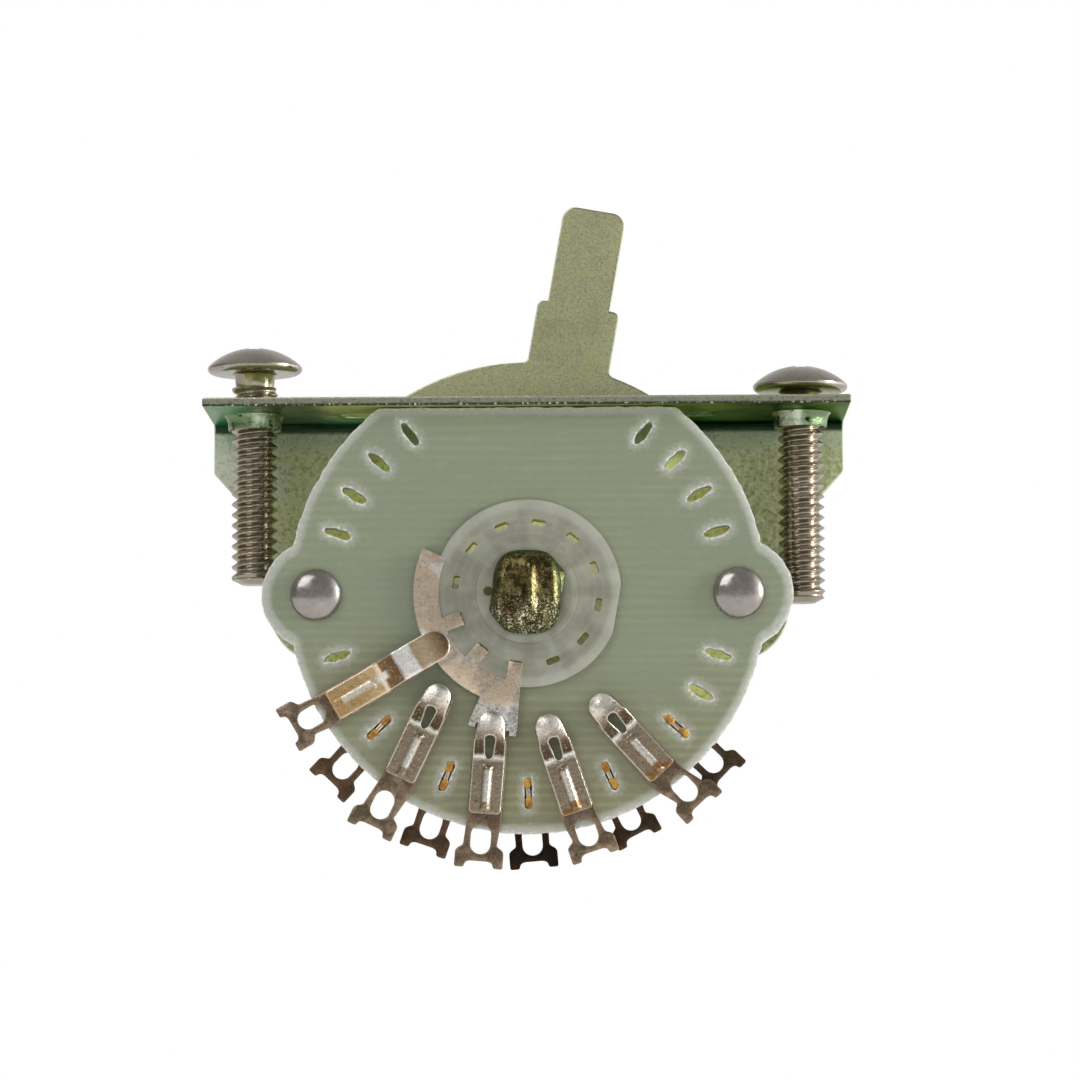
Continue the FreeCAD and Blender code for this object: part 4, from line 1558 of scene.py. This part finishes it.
@dataclass
class ClipSet:
    """All clips on both faces of the wafer, with the resin that holds the rear ones."""

    front: tuple[Bend, ...] = ((144, -6.5, 0.1, 0.5), (168, -6.6, -0.35, 0.2),
                               (192, -7.2, 0.05, -0.15), (216, -10.3, 0.6, -0.35))
    common: Bend = (240, 0.0, -0.15, -0.15)
    rear: tuple[Bend, ...] = ((132, 2.0, -0.3, 0.0), (156, -3.0, -0.55, 0.1),
                              (180, -4.5, -0.3, 0.0), (204, -5.0, 0.0, 0.0),
                              (228, -4.0, 0.05, -0.05))
    bead_places: tuple[float, ...] = (-0.92, -0.74, -0.56, 0.5, 0.68, 0.88)
    bead_off: float = 0.03
    bead_depth: float = 0.17
    bead_r: float = 0.3
    bead_spread: float = 0.1
    bead_seed: float = 4.0
    bead_grain: float = 2600.0
    bead_lump: float = 0.3

    def one(self, kind: str, label: str, node: str, bend: Bend, common: bool,
            finishes: tuple[bpy.types.Material, bpy.types.Material, bpy.types.Material],
            slots: tuple[str, str]) -> None:
        """Build a terminal, its tab and its leaf and hand them to the frame.

        Args:
            kind: Start of the pieces' names.
            label: End of the pieces' names.
            node: Pattern of the solids' names.
            bend: The clip's turn and skew, and its lug's reach and sway.
            common: Whether it is the long clip.
            finishes: Of the terminal, the leaf and the tab.
            slots: Names for the terminal and the leaf; not used.
        """
        turn, skew, reach, sway = bend
        spot = WaferSpot(turn, skew, Face.REAR if kind.endswith("rear") else Face.FRONT)
        clip = ClipContact(common=common, reach=reach, sway=sway)
        parts = ((clip.terminal, "terminal", "terminal", finishes[0], slots[0]),
                 (clip.leaf, "leaf", "leaf", finishes[1], slots[1]),
                 (clip.tab, "tab", "terminal", finishes[2], slots[0]))
        for build, what, solid, finish, slot in parts:
            piece = build(f"{kind}_{what}{label}", spot, finish)
            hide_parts(node.format(solid))
            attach(piece, "frame")
        log.info("clip %s%s", kind, label)

    def build(self, paints: "Paints") -> None:
        """Build every clip.

        Args:
            paints: Every finish.
        """
        for i, bend in enumerate(self.front, 1):
            leaf = paints.stained_leaf if i < 3 else paints.leaf
            self.one("clip_front", f"_{i}", f"front_{{}}_{i}", bend, False,
                     (paints.terminal, leaf, paints.tab), ("terminal", "leaf"))
        self.one("clip_common", "", "common_{}", self.common, True,
                 (paints.terminal, paints.common_leaf, paints.tab), ("terminal", "common_leaf"))
        for i, bend in enumerate(self.rear, 1):
            self.one("clip_rear", f"_{i}", f"rear_{{}}_{i}", bend, False,
                     (paints.rear_terminals[i - 1], paints.leaf, paints.tab),
                     ("rear_terminal", "leaf"))
        self.resin(paints.resin)

    def resin(self, finish: bpy.types.Material) -> bpy.types.Object:
        """Set beads of resin at both ends of each slot that a rear clip's tab fills.

        Args:
            finish: Its material.

        Returns:
            The beads, as one piece.
        """
        spots = []
        for turn, skew, _, _ in self.rear:
            spot = WaferSpot(turn, skew, Face.FRONT)
            for u in self.bead_places:
                off = self.bead_off if u > 0 else -self.bead_off
                spots.append(spot.place(u, off, -self.bead_depth))
        mesh = bpy.data.meshes.new("resin_spots")
        mesh.from_pydata(spots, [], [])
        piece = linked("resin_beads", mesh)
        sizes = {"radius": self.bead_r * MM, "spread": self.bead_spread, "seed": self.bead_seed}
        recipe = Recipe("beads_on_points", sizes)
        ball = recipe.add("GeometryNodeMeshIcoSphere", recipe.start.outputs["radius"], 3)
        shift = recipe.add("ShaderNodeTexNoise")
        shift.inputs["Scale"].default_value = self.bead_grain
        bent = recipe.add("ShaderNodeVectorMath", shift.outputs["Color"], (0.5, 0.5, 0.5),
                          operation="SUBTRACT")
        bent = recipe.add("ShaderNodeVectorMath", bent.outputs[0], (self.bead_lump * MM,) * 3,
                          operation="MULTIPLY")
        lumpy = recipe.add("GeometryNodeSetPosition", ball.outputs[0])
        recipe.put(lumpy.inputs["Offset"], bent.outputs[0])
        size = recipe.add("FunctionNodeRandomValue", data_type="FLOAT")
        one_less = recipe.math("SUBTRACT", 1.0, recipe.start.outputs["spread"])
        one_more = recipe.math("ADD", 1.0, recipe.start.outputs["spread"])
        recipe.put(size.inputs[2], one_less)
        recipe.put(size.inputs[3], one_more)
        recipe.put(size.inputs["Seed"], recipe.start.outputs["seed"])
        smooth = recipe.add("GeometryNodeSetShadeSmooth", lumpy.outputs[0])
        beads = recipe.add("GeometryNodeInstanceOnPoints", recipe.start.outputs[0])
        recipe.put(beads.inputs["Instance"], smooth.outputs[0])
        recipe.put(beads.inputs["Scale"], size.outputs[1])
        recipe.close(beads.outputs[0], finish)
        recipe.run(piece, sizes)
        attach(piece, "frame")
        log.info("resin beads: %d points", len(piece.data.vertices))
        return piece


@dataclass
class MountingScrew:
    """A threaded screw with a low oval head and a cross recess."""

    side: str
    x: float
    raised: float
    length: float = 16.0
    major_r: float = 1.75
    thread_depth: float = 0.42
    crest: float = 0.9
    flank: float = 0.74
    pitch: float = 0.794
    neck: float = 1.0
    head_r: float = 3.58
    under_r: float = 3.05
    rim: float = 0.55
    crown: float = 1.45
    rows: int = 12
    around: int = 48
    recess_mouth: tuple[float, float] = (3.7, 0.86)
    recess_floor: tuple[float, float] = (0.9, 0.5)
    recess_over: float = 0.2
    cutter_h: float = 1.75

    def place(self, x: float, y: float, z: float) -> Vector:
        """Move a point from the screw's frame."""
        return straight(x + self.x, y, z + self.raised)

    def shank(self, finish: bpy.types.Material) -> bpy.types.Object:
        """Turn the shank and roll its thread.

        Args:
            finish: Its material.

        Returns:
            The shank.
        """
        step = self.pitch / self.rows
        count = int((self.length - self.neck - 0.35) / step)
        r = self.major_r
        profile = [(0.0, -self.length), (r - 0.75, -self.length), (r - 0.55, 0.12 - self.length)]
        start = 0.35 - self.length
        profile += [(r, start + i * step) for i in range(count)]
        profile += [(r - 0.3, -self.neck), (r - 0.22, -0.15), (r - 0.05, -0.02), (0.0, -0.02)]
        piece = finished(lathe(profile, self.around, straight), f"threaded_shank_{self.side}",
                         finish, 50)
        sizes = {"pitch": self.pitch * MM, "depth": self.thread_depth * MM, "radius": r * MM,
                 "first": (0.2 - self.length) * MM, "last": (-self.neck + 0.1) * MM}
        self.thread_recipe(sizes, finish).run(piece, sizes)
        piece.data.transform(Matrix.Translation(self.place(0, 0, 0)))
        smoothed(piece.data, 50)
        return piece

    def thread_recipe(self, sizes: dict[str, float], finish: bpy.types.Material) -> Recipe:
        """Write down how a thread is rolled between two heights of an upright shank.

        Args:
            sizes: Its pitch, depth, radius and the heights where it starts and ends.
            finish: The shank's material.

        Returns:
            The recipe, to be run on the shank.
        """
        recipe = Recipe("rolled_thread", sizes)
        size = recipe.start.outputs
        spot = recipe.add("GeometryNodeInputPosition")
        parts = recipe.add("ShaderNodeSeparateXYZ", spot.outputs[0]).outputs
        angle = recipe.math("DIVIDE", recipe.math("ARCTAN2", parts[1], parts[0]), 2 * pi)
        turns = recipe.math("SUBTRACT", recipe.math("DIVIDE", parts[2], size["pitch"]), angle)
        phase = recipe.math("FRACT", turns)
        wave = recipe.math("ABSOLUTE", recipe.math("SUBTRACT",
                                                   recipe.math("MULTIPLY", phase, 2.0), 1.0))
        # Flat crest and root, straight flanks, and a fade over one pitch at either end.
        groove = recipe.math("DIVIDE", recipe.math("SUBTRACT", self.crest, wave), self.flank, True)
        top = recipe.math("DIVIDE", recipe.math("SUBTRACT", size["last"], parts[2]),
                          size["pitch"], True)
        low = recipe.math("DIVIDE", recipe.math("SUBTRACT", parts[2], size["first"]),
                          size["pitch"], True)
        groove = recipe.math("MULTIPLY", groove, recipe.math("MULTIPLY", top, low))
        flat = recipe.add("ShaderNodeCombineXYZ", parts[0], parts[1], 0.0)
        out = recipe.add("ShaderNodeVectorMath", flat.outputs[0], operation="NORMALIZE")
        move = recipe.add("ShaderNodeVectorMath", out.outputs[0], operation="SCALE")
        recipe.put(move.inputs["Scale"], recipe.math(
            "MULTIPLY", recipe.math("MULTIPLY", groove, size["depth"]), -1.0))
        reach = recipe.add("ShaderNodeVectorMath", flat.outputs[0], operation="LENGTH")
        far = recipe.math("GREATER_THAN", reach.outputs[1],
                          recipe.math("MULTIPLY", size["radius"], 0.97))
        shaped = recipe.add("GeometryNodeSetPosition", recipe.start.outputs[0], far)
        recipe.put(shaped.inputs["Offset"], move.outputs[0])
        recipe.close(shaped.outputs[0], finish)
        return recipe

    def head(self, finish: bpy.types.Material) -> bpy.types.Object:
        """Turn the head and press its recess.

        Args:
            finish: Its material.

        Returns:
            The head.
        """
        big = (self.head_r ** 2 + self.crown ** 2) / (2 * self.crown)
        edge = atan2(self.head_r, big - self.crown)
        swell = self.head_r - self.under_r
        profile = [(0.0, 0.0), (self.major_r, 0.0), (self.under_r, 0.0)]
        for i in range(1, 7):
            a = i / 6 * pi / 2
            profile.append((self.under_r + swell * sin(a), self.rim * 0.72 * (1 - cos(a))))
        profile.append((self.head_r, self.rim * 0.9))
        for i in range(1, 15):
            a = edge * (1 - i / 15)
            profile.append((big * sin(a), self.rim + self.crown - big * (1 - cos(a))))
        profile.append((0.0, self.rim + self.crown))
        piece = finished(lathe(profile, 96, self.place), f"oval_head_{self.side}", finish, 40)
        cutter = self.cross()
        press = piece.modifiers.new("recess", "BOOLEAN")
        press.operation = "DIFFERENCE"
        press.solver = "EXACT"
        press.use_self = True
        press.object = cutter
        seen = piece.evaluated_get(bpy.context.evaluated_depsgraph_get())
        mesh = bpy.data.meshes.new_from_object(seen)
        piece.modifiers.remove(press)
        piece.data = mesh
        bpy.data.objects.remove(cutter)
        smoothed(mesh, 34)
        return piece

    def cross(self) -> bpy.types.Object:
        """Shape the cross that is pressed into the head, narrower at its foot.

        Returns:
            The cross, which is removed after its use.
        """
        bm = bmesh.new()
        top = self.rim + self.crown + self.recess_over
        floor = top - self.cutter_h
        for turn in (0.0, pi / 2):
            arm = bmesh.ops.create_cube(bm, size=1.0)["verts"]
            for v in arm:
                deep = v.co.z < 0
                long, wide = self.recess_floor if deep else self.recess_mouth
                x, y = v.co.x * long, v.co.y * wide
                v.co = self.place(x * cos(turn) - y * sin(turn), x * sin(turn) + y * cos(turn),
                                  floor if deep else top)
        bmesh.ops.recalc_face_normals(bm, faces=bm.faces)
        mesh = bpy.data.meshes.new("recess")
        bm.to_mesh(mesh)
        bm.free()
        return linked("recess", mesh)

    def build(self, head: bpy.types.Material, thread: bpy.types.Material) -> None:
        """Make the screw and put it in place of its solid.

        Args:
            head: The head's material.
            thread: The shank's material.
        """
        for piece in (self.shank(thread), self.head(head)):
            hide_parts(f"mounting_screw_{self.side}")
            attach(piece, "frame")
        log.info("screw %s", self.side)


@dataclass
class DomedRivet:
    """A polished rivet through the wafer's ear."""

    side: str
    x: float
    head_r: float = 1.93
    head_h: float = 0.95
    shank_r: float = 1.2
    grip: float = 11.65
    tail_r: float = 1.7
    tail_h: float = 0.5

    def build(self, finish: bpy.types.Material) -> bpy.types.Object:
        """Turn the rivet with a smooth dome and a rolled tail.

        Args:
            finish: Its material.

        Returns:
            The rivet.
        """
        profile = [(0.0, -self.grip - self.tail_h), (self.tail_r * 0.6, -self.grip - self.tail_h)]
        for k in range(1, 6):
            a = k * pi / 10
            profile.append((self.tail_r * (0.6 + 0.4 * sin(a)),
                            -self.grip - self.tail_h * cos(a)))
        profile += [(self.shank_r, -self.grip), (self.shank_r, 0.0), (self.head_r - 0.1, 0.0),
                    (self.head_r, 0.08)]
        for k in range(1, 20):
            a = k / 20 * pi / 2
            profile.append((self.head_r * cos(a) ** 0.9,
                            0.08 + (self.head_h - 0.08) * sin(a) ** 1.05))
        profile.append((0.0, self.head_h))
        bm = lathe(profile, 72,
                   lambda x, y, z: straight(self.x + x, WAFER_FRONT - z, AXIS_Z + y))
        piece = finished(bm, f"domed_rivet_{self.side}", finish, 40)
        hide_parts(f"rivet_{self.side}")
        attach(piece, "frame")
        log.info("rivet %s", self.side)
        return piece


@dataclass
class Collar:
    """The flared mouth of a tapped hole, drawn down under the bracket's top."""

    side: str
    x: float
    profile: tuple[Point2, ...] = ((1.8, -0.5), (1.8, -1.55), (1.86, -1.72), (1.96, -1.75),
                                   (2.0, -1.62), (2.02, -1.35), (2.07, -1.05), (2.17, -0.82),
                                   (2.32, -0.67), (2.32, -0.5))

    def build(self, finish: bpy.types.Material) -> bpy.types.Object:
        """Turn the collar.

        Args:
            finish: Its material.

        Returns:
            The collar.
        """
        bm = lathe(self.profile, 72, lambda x, y, z: straight(self.x + x, y, z), True)
        piece = finished(bm, f"collar_{self.side}", finish, 50)
        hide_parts("mounting_bracket")
        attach(piece, "frame")
        log.info("collar %s", self.side)
        return piece


@dataclass
class ShaftTip:
    """The shaft's staked end: rounded at its rim, creased down the middle, dished beside it."""

    half_x: float = 2.55
    half_z: float = 3.1
    front: float = -8.3
    depth: float = 1.6
    crease: float = 0.25
    square_x: float = 3.2
    square_z: float = 2.6

    def level(self, u: float, v: float) -> float:
        """Height of the end over the shaft's own end, never above it.

        Args:
            u: Along X from the middle.
            v: Up from the middle.

        Returns:
            The height.
        """
        near = abs(u / self.half_x) ** self.square_x + abs(v / self.half_z) ** self.square_z
        away = (1 - near ** (1 / 2.9)) * 2.8
        low = 0.8 * max(0.0, 1 - away / 1.15) ** 2 + 0.5 * max(0.0, -(v + 0.7) / 2.4) ** 2
        ridge = 0.34 * exp(-((u - self.crease) / 0.36) ** 2) * max(0.0, 1 - (v / 2.6) ** 4)
        left = 0.24 * exp(-((u + 0.95) / 0.6) ** 2)
        right = 0.2 * exp(-((u - 1.4) / 0.5) ** 2)
        return ridge - 0.34 - (left + right) * max(0.0, 1 - (v / 2.9) ** 2) - low

    def build(self, finish: bpy.types.Material) -> bpy.types.Object:
        """Form the end.

        Args:
            finish: Its material.

        Returns:
            The end.
        """
        line = []
        for i in range(120):
            a = 2 * pi * i / 120
            x, z = cos(a), sin(a)
            line.append((self.half_x * abs(x) ** (2 / self.square_x) * (1 if x > 0 else -1),
                         self.half_z * abs(z) ** (2 / self.square_z) * (1 if z > 0 else -1)))
        sheet = Sheet(Outline.divided(line, 0.16), [], self.depth,
                      lambda u, v: self.level(u, v) - self.depth, 0.14, 0.05)
        piece = sheet.build(
            "shaft_tip", lambda u, v, w: straight(u, self.front - w, AXIS_Z + v), finish, 60)
        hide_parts("shaft")
        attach(piece, "lever")
        log.info("shaft tip")
        return piece


@dataclass
class Stampings:
    """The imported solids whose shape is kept: their edges are broken and they get a finish."""

    still: dict[str, tuple[float, str]] = field(default_factory=lambda: {
        "mounting_bracket": (0.09, "bracket"), "shaft_bushing": (0.05, "steel"),
        "detent_spring": (0.04, "spring_steel"), "detent_roller": (0.08, "steel"),
        "spacer_left": (0.06, "steel"), "spacer_right": (0.06, "steel")})
    moving: dict[str, tuple[float, str]] = field(default_factory=lambda: {
        "lever": (0.2, "lever"), "shaft": (0.05, "shaft"),
        "retaining_ring": (0.05, "spring_steel"), "rotor_front": (0.08, "rotor"),
        "rotor_rear": (0.05, "rotor"), "rotor_contact_front": (0.04, "rotor_contact"),
        "rotor_contact_rear": (0.04, "rotor_contact")})
    slot_ring: Point2 = (4.6, 6.1)
    collar_r: float = 1.9
    collar_reach: float = 2.6
    collar_top: float = -0.7
    shaft_front: float = -7.7
    shaft_back: float = 1.2

    def narrow_collars(self, piece: bpy.types.Object) -> None:
        """Draw the plain collars of the bracket in under the turned ones.

        Args:
            piece: The dressed bracket.
        """
        for vert in piece.data.vertices:
            x = abs(vert.co.x) - SCREW_X * MM
            reach = sqrt(x * x + vert.co.y * vert.co.y)
            outside = self.collar_r * MM < reach < self.collar_reach * MM
            if vert.co.z < self.collar_top * MM and outside:
                share = self.collar_r * MM / reach
                side = 1 if vert.co.x > 0 else -1
                vert.co.x = side * (SCREW_X * MM + x * share)
                vert.co.y *= share

    def shorten_shaft(self, piece: bpy.types.Object) -> None:
        """Draw the shaft's plain end back, to make room for its staked one.

        Args:
            piece: The dressed shaft.
        """
        for vert in piece.data.vertices:
            if vert.co.y < self.shaft_front * MM:
                vert.co.y += self.shaft_back * MM

    def build(self, paints: "Paints") -> None:
        """Dress every solid that is kept.

        Args:
            paints: Every finish.
        """
        for body, group in (("frame", self.still), ("lever", self.moving)):
            for node, (bevel, slot) in group.items():
                ring = self.slot_ring if slot == "rotor" else (0, 0)
                piece = stamped(node, f"{node}_dressed", bevel, paints.by_slot[slot], ring=ring)
                if node == "shaft":
                    self.shorten_shaft(piece)
                if node == "mounting_bracket":
                    self.narrow_collars(piece)
                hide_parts(node)
                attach(piece, body)
                log.info("stamping %s: %d faces", node, len(piece.data.polygons))


class Paints:
    """Every finish, mixed once."""

    def __init__(self) -> None:
        """Mix the finishes."""
        steel = Plate("dull_steel", tone(196, 194, 186), tone(150, 148, 138), tone(90, 84, 70),
                      0.5, 0.34, 1.2, 0.02).build()
        spring = Plate("spring_steel", tone(186, 188, 190), tone(142, 143, 144),
                       tone(84, 80, 74), 0.35, 0.28, 1.0, 0.012).build()
        self.collar = Plate("green_silver", tone(226, 234, 212), tone(110, 132, 94),
                            tone(8, 16, 6), 1.0, 0.14, 0.6, 0.1).build()
        self.terminal = Plate("tan_brass", tone(166, 146, 123), tone(119, 102, 84),
                              tone(54, 40, 28), 0.75, 0.3, 1.8, 0.02, True).build()
        self.tab = Plate("tab_silver", tone(226, 214, 192), tone(190, 174, 146),
                         tone(120, 96, 66), 0.5, 0.25, 1.8, 0.02, True).build()
        # Darker copies of the brass for the rear terminals: painted shade, one per lug.
        shaded_browns = (("rear_brass_1", (74, 60, 46)), ("rear_brass_2", (70, 56, 43)),
                  ("rear_brass_3", (40, 31, 23)), ("rear_brass_4", (88, 70, 55)),
                  ("rear_brass_5", (92, 74, 58)))
        self.rear_terminals = [
            Plate(name, tone(*(int(c * 1.35) for c in rgb)), tone(*rgb),
                  tone(*(int(c * 0.42) for c in rgb)), 0.7, 0.34, 1.4, 0.02, True).build()
            for name, rgb in shaded_browns]
        # Stops along the short leaf: painted highlights on the spoon and at the bend line, painted
        # shade on the slope between and at the tip's end.
        short = ((0.0, tone(104, 88, 70)), (0.06, tone(250, 244, 234)), (0.16, tone(228, 218, 206)),
                 (0.23, tone(164, 148, 130)), (0.3, tone(96, 78, 58)), (0.41, tone(80, 64, 46)),
                 (0.445, tone(250, 246, 236)), (0.49, tone(154, 138, 118)),
                 (1.0, tone(166, 148, 126)))
        self.leaf = LeafPlate("speckled_leaf", short).build()
        self.stained_leaf = LeafPlate("stained_leaf", short, stained=0.8).build()
        # Stops along the common leaf: a painted highlight at the lower bend, painted shade on the
        # slope before it and at the tip's end.
        self.common_leaf = LeafPlate("golden_leaf", (
            (0.0, tone(70, 52, 34)), (0.07, tone(156, 128, 92)), (0.2, tone(212, 190, 160)),
            (0.27, tone(190, 164, 132)), (0.3, tone(252, 248, 246)), (0.41, tone(250, 244, 240)),
            (0.44, tone(106, 78, 52)), (0.55, tone(128, 98, 64)), (0.57, tone(246, 232, 206)),
            (0.6, tone(226, 198, 150)), (0.8, tone(200, 168, 120))),
            rib=tone(240, 234, 222), spots=0.16).build()
        self.nickel = Plate("polished_nickel", tone(182, 175, 170), tone(166, 158, 153),
                            tone(132, 120, 112), 0.2, 0.19, 0.8, 0.003).build()
        self.screw_head = Plate("aged_nickel", tone(186, 178, 168), tone(166, 158, 148),
                                tone(124, 112, 96), 0.3, 0.17, 1.1, 0.003).build()
        self.screw_thread = Plate("brown_nickel", tone(184, 175, 160), tone(160, 150, 134),
                                  tone(104, 92, 76), 0.3, 0.16, 1.6, 0.003).build()
        self.resin = Amber().build()
        self.shaft_tip = WornGold("gold_chromate_end", True).build()
        self.by_slot = {
            "bracket": Chromate().build(), "lever": GrainyChromate().build(),
            "shaft": WornGold("gold_chromate", False).build(), "steel": steel,
            "spring_steel": spring, "rotor": MilkyNylon().build(), "wafer": GlassBoard().build(),
            "rotor_contact": Plate("mottled_silver", tone(250, 247, 243), tone(216, 199, 176),
                                   tone(200, 158, 104), 0.75, 0.28, 1.5, 0.012,
                                   crystals=8.3).build()}


@dataclass(frozen=True)
class Lamp:
    """One soft square lamp, in metres, and the place that it looks at."""

    name: str
    at: tuple[float, float, float]
    power: float
    size: float
    look: tuple[float, float, float] = (0.0, 0.0, -0.013)

    def hang(self) -> None:
        """Hang the lamp."""
        data = bpy.data.lights.new(self.name, "AREA")
        data.energy = self.power
        data.size = self.size
        lamp = bpy.data.objects.new(self.name, data)
        bpy.context.scene.collection.objects.link(lamp)
        spot = Vector(self.at)
        aim = Vector(self.look) - spot
        turn = aim.to_track_quat("-Z", "Y").to_matrix().to_4x4()
        lamp.matrix_world = Matrix.Translation(spot) @ turn


@dataclass
class Studio:
    """The camera at the photograph's angle, pale floor, world and soft lamps.

    The inner lamp is the light that comes through the wafer's slots.
    """

    eye: tuple[float, float, float] = (0.004985, -0.370361, -0.047839)
    pitch: float = 5.809
    yaw: float = 0.631
    roll: float = -0.263
    lens: float = 164.39
    floor_z: float = -0.058
    floor_r: float = 0.85
    ambient: tuple[float, float] = (0.3844, 0.837)
    mirrored: tuple[float, float] = (0.34, 0.85)
    depth: tuple[float, float] = (-0.9, 0.5)
    lamps: tuple[Lamp, ...] = (
        Lamp("key_lamp", (-0.35, -0.42, 0.42), 1.3, 0.42),
        Lamp("side_lamp", (0.6, -0.12, 0.1), 2.6, 0.2),
        Lamp("low_lamp", (0.06, -0.5, -0.2), 1.0, 0.2),
        Lamp("inner_lamp", (0.0, -0.0034, -0.0147), 0.0018, 0.024, (0.0, 1.0, -0.0147)))

    def camera(self) -> None:
        """Stand the camera."""
        data = bpy.data.cameras.new("studio_camera")
        data.sensor_width = 36.0
        data.sensor_fit = "HORIZONTAL"
        data.lens = self.lens
        data.clip_start = 0.01
        data.clip_end = 20.0
        camera = bpy.data.objects.new("studio_camera", data)
        bpy.context.scene.collection.objects.link(camera)
        t, s, r = radians(self.pitch), radians(self.yaw), radians(self.roll)
        right = Vector((cos(s), sin(s), 0))
        up = Vector((sin(s) * sin(t), -cos(s) * sin(t), cos(t)))
        ahead = Vector((-sin(s) * cos(t), cos(s) * cos(t), sin(t)))
        right, up = right * cos(r) + up * sin(r), up * cos(r) - right * sin(r)
        turn = Matrix((right, up, -ahead)).transposed().to_4x4()
        camera.matrix_world = Matrix.Translation(self.eye) @ turn
        bpy.context.scene.camera = camera

    def floor(self) -> None:
        """Lay the floor under the part."""
        bm = bmesh.new()
        bmesh.ops.create_circle(bm, cap_ends=True, segments=96, radius=self.floor_r)
        bmesh.ops.translate(bm, verts=bm.verts, vec=(0, 0, self.floor_z))
        floor = finished(bm, "floor", FloorPaint().build())
        floor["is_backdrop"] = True

    def world(self) -> None:
        """Light the part evenly and show white behind it."""
        world = bpy.data.worlds.new("studio_world")
        bpy.context.scene.world = world
        world.use_nodes = True
        nodes, links = world.node_tree.nodes, world.node_tree.links
        nodes.clear()
        out = nodes.new("ShaderNodeOutputWorld")
        shade = nodes.new("ShaderNodeBackground")
        white = nodes.new("ShaderNodeBackground")
        shade.inputs[0].default_value = (1.0, 1.0, 0.99, 1.0)
        white.inputs[0].default_value = (1.0, 1.0, 1.0, 1.0)
        coords = nodes.new("ShaderNodeTexCoord")
        split = nodes.new("ShaderNodeSeparateXYZ")
        links.new(coords.outputs["Generated"], split.inputs[0])
        path = nodes.new("ShaderNodeLightPath")
        pick = nodes.new("ShaderNodeMix")
        links.new(path.outputs["Is Glossy Ray"], pick.inputs[0])
        for slot, strength in ((2, self.ambient), (3, self.mirrored)):
            fade = nodes.new("ShaderNodeMapRange")
            for key, value in zip(("From Min", "From Max", "To Min", "To Max"),
                                  self.depth + strength):
                fade.inputs[key].default_value = value
            links.new(split.outputs[1], fade.inputs["Value"])
            links.new(fade.outputs["Result"], pick.inputs[slot])
            if slot == 3:
                links.new(self.reflected(nodes, links, fade, split), pick.inputs[slot])
        links.new(pick.outputs[0], shade.inputs["Strength"])
        either = nodes.new("ShaderNodeMath")
        either.operation = "MAXIMUM"
        links.new(path.outputs["Is Camera Ray"], either.inputs[0])
        links.new(path.outputs["Is Transmission Ray"], either.inputs[1])
        mix = nodes.new("ShaderNodeMixShader")
        links.new(either.outputs[0], mix.inputs[0])
        links.new(shade.outputs[0], mix.inputs[1])
        links.new(white.outputs[0], mix.inputs[2])
        links.new(mix.outputs[0], out.inputs[0])

    @staticmethod
    def reflected(nodes: bpy.types.Nodes, links: bpy.types.NodeLinks, fade: bpy.types.Node,
                  split: bpy.types.Node) -> bpy.types.NodeSocket:
        """Dim the reflected world overhead and at the left, and brighten it at the right.

        Args:
            nodes: The world's nodes.
            links: Their links.
            fade: How bright the world is along Y.
            split: The way that is looked, as x, y and z.

        Returns:
            The strength that is reflected.
        """
        parts = []
        for way, numbers in ((2, (0.1, 0.9, 1.0, 0.5)), (0, (0.6, 1.0, 0.0, 1.6)),
                             (0, (-1.0, -0.4, 0.3, 1.0))):
            part = nodes.new("ShaderNodeMapRange")
            for key, value in zip(("From Min", "From Max", "To Min", "To Max"), numbers):
                part.inputs[key].default_value = value
            links.new(split.outputs[way], part.inputs["Value"])
            parts.append(part)
        join = nodes.new("ShaderNodeMath")
        join.operation = "MULTIPLY_ADD"
        for socket, node in zip(join.inputs, (fade, *parts[:2])):
            links.new(node.outputs["Result"], socket)
        last = nodes.new("ShaderNodeMath")
        last.operation = "MULTIPLY"
        links.new(join.outputs[0], last.inputs[0])
        links.new(parts[2].outputs["Result"], last.inputs[1])
        return last.outputs[0]

    def build(self) -> None:
        """Set up the whole studio."""
        self.camera()
        self.floor()
        self.world()
        for lamp in self.lamps:
            lamp.hang()
        bpy.context.scene.view_settings.view_transform = "Standard"
        log.info("studio ready")


def listed(box: object) -> list:
    """Turn a box of any nesting into plain lists.

    Args:
        box: A number or a nest of them.

    Returns:
        The same as floats in lists.
    """
    if isinstance(box, (int, float)):
        return float(box)
    return [listed(part) for part in box]


def main() -> None:
    """Build the studio and every piece."""
    noise.seed_set(FRAY_SEED)
    logging.basicConfig(level=logging.INFO, format="%(name)s: %(message)s")
    before = listed(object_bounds())
    Studio().build()
    paints = Paints()
    Stampings().build(paints)
    WaferBoard().build(paints.by_slot["wafer"])
    log.info("wafer board")
    ClipSet().build(paints)
    for side, s, raised in (("left", -1, LEFT_RAISED), ("right", 1, RIGHT_RAISED)):
        DomedRivet(side, s * RIVET_X).build(paints.nickel)
        MountingScrew(side, s * SCREW_X, raised).build(paints.screw_head, paints.screw_thread)
        Collar(side, s * SCREW_X).build(paints.collar)
    ShaftTip().build(paints.shaft_tip)
    {"cad": before, "visual": listed(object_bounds())}


if __name__ == "__main__":
    main()
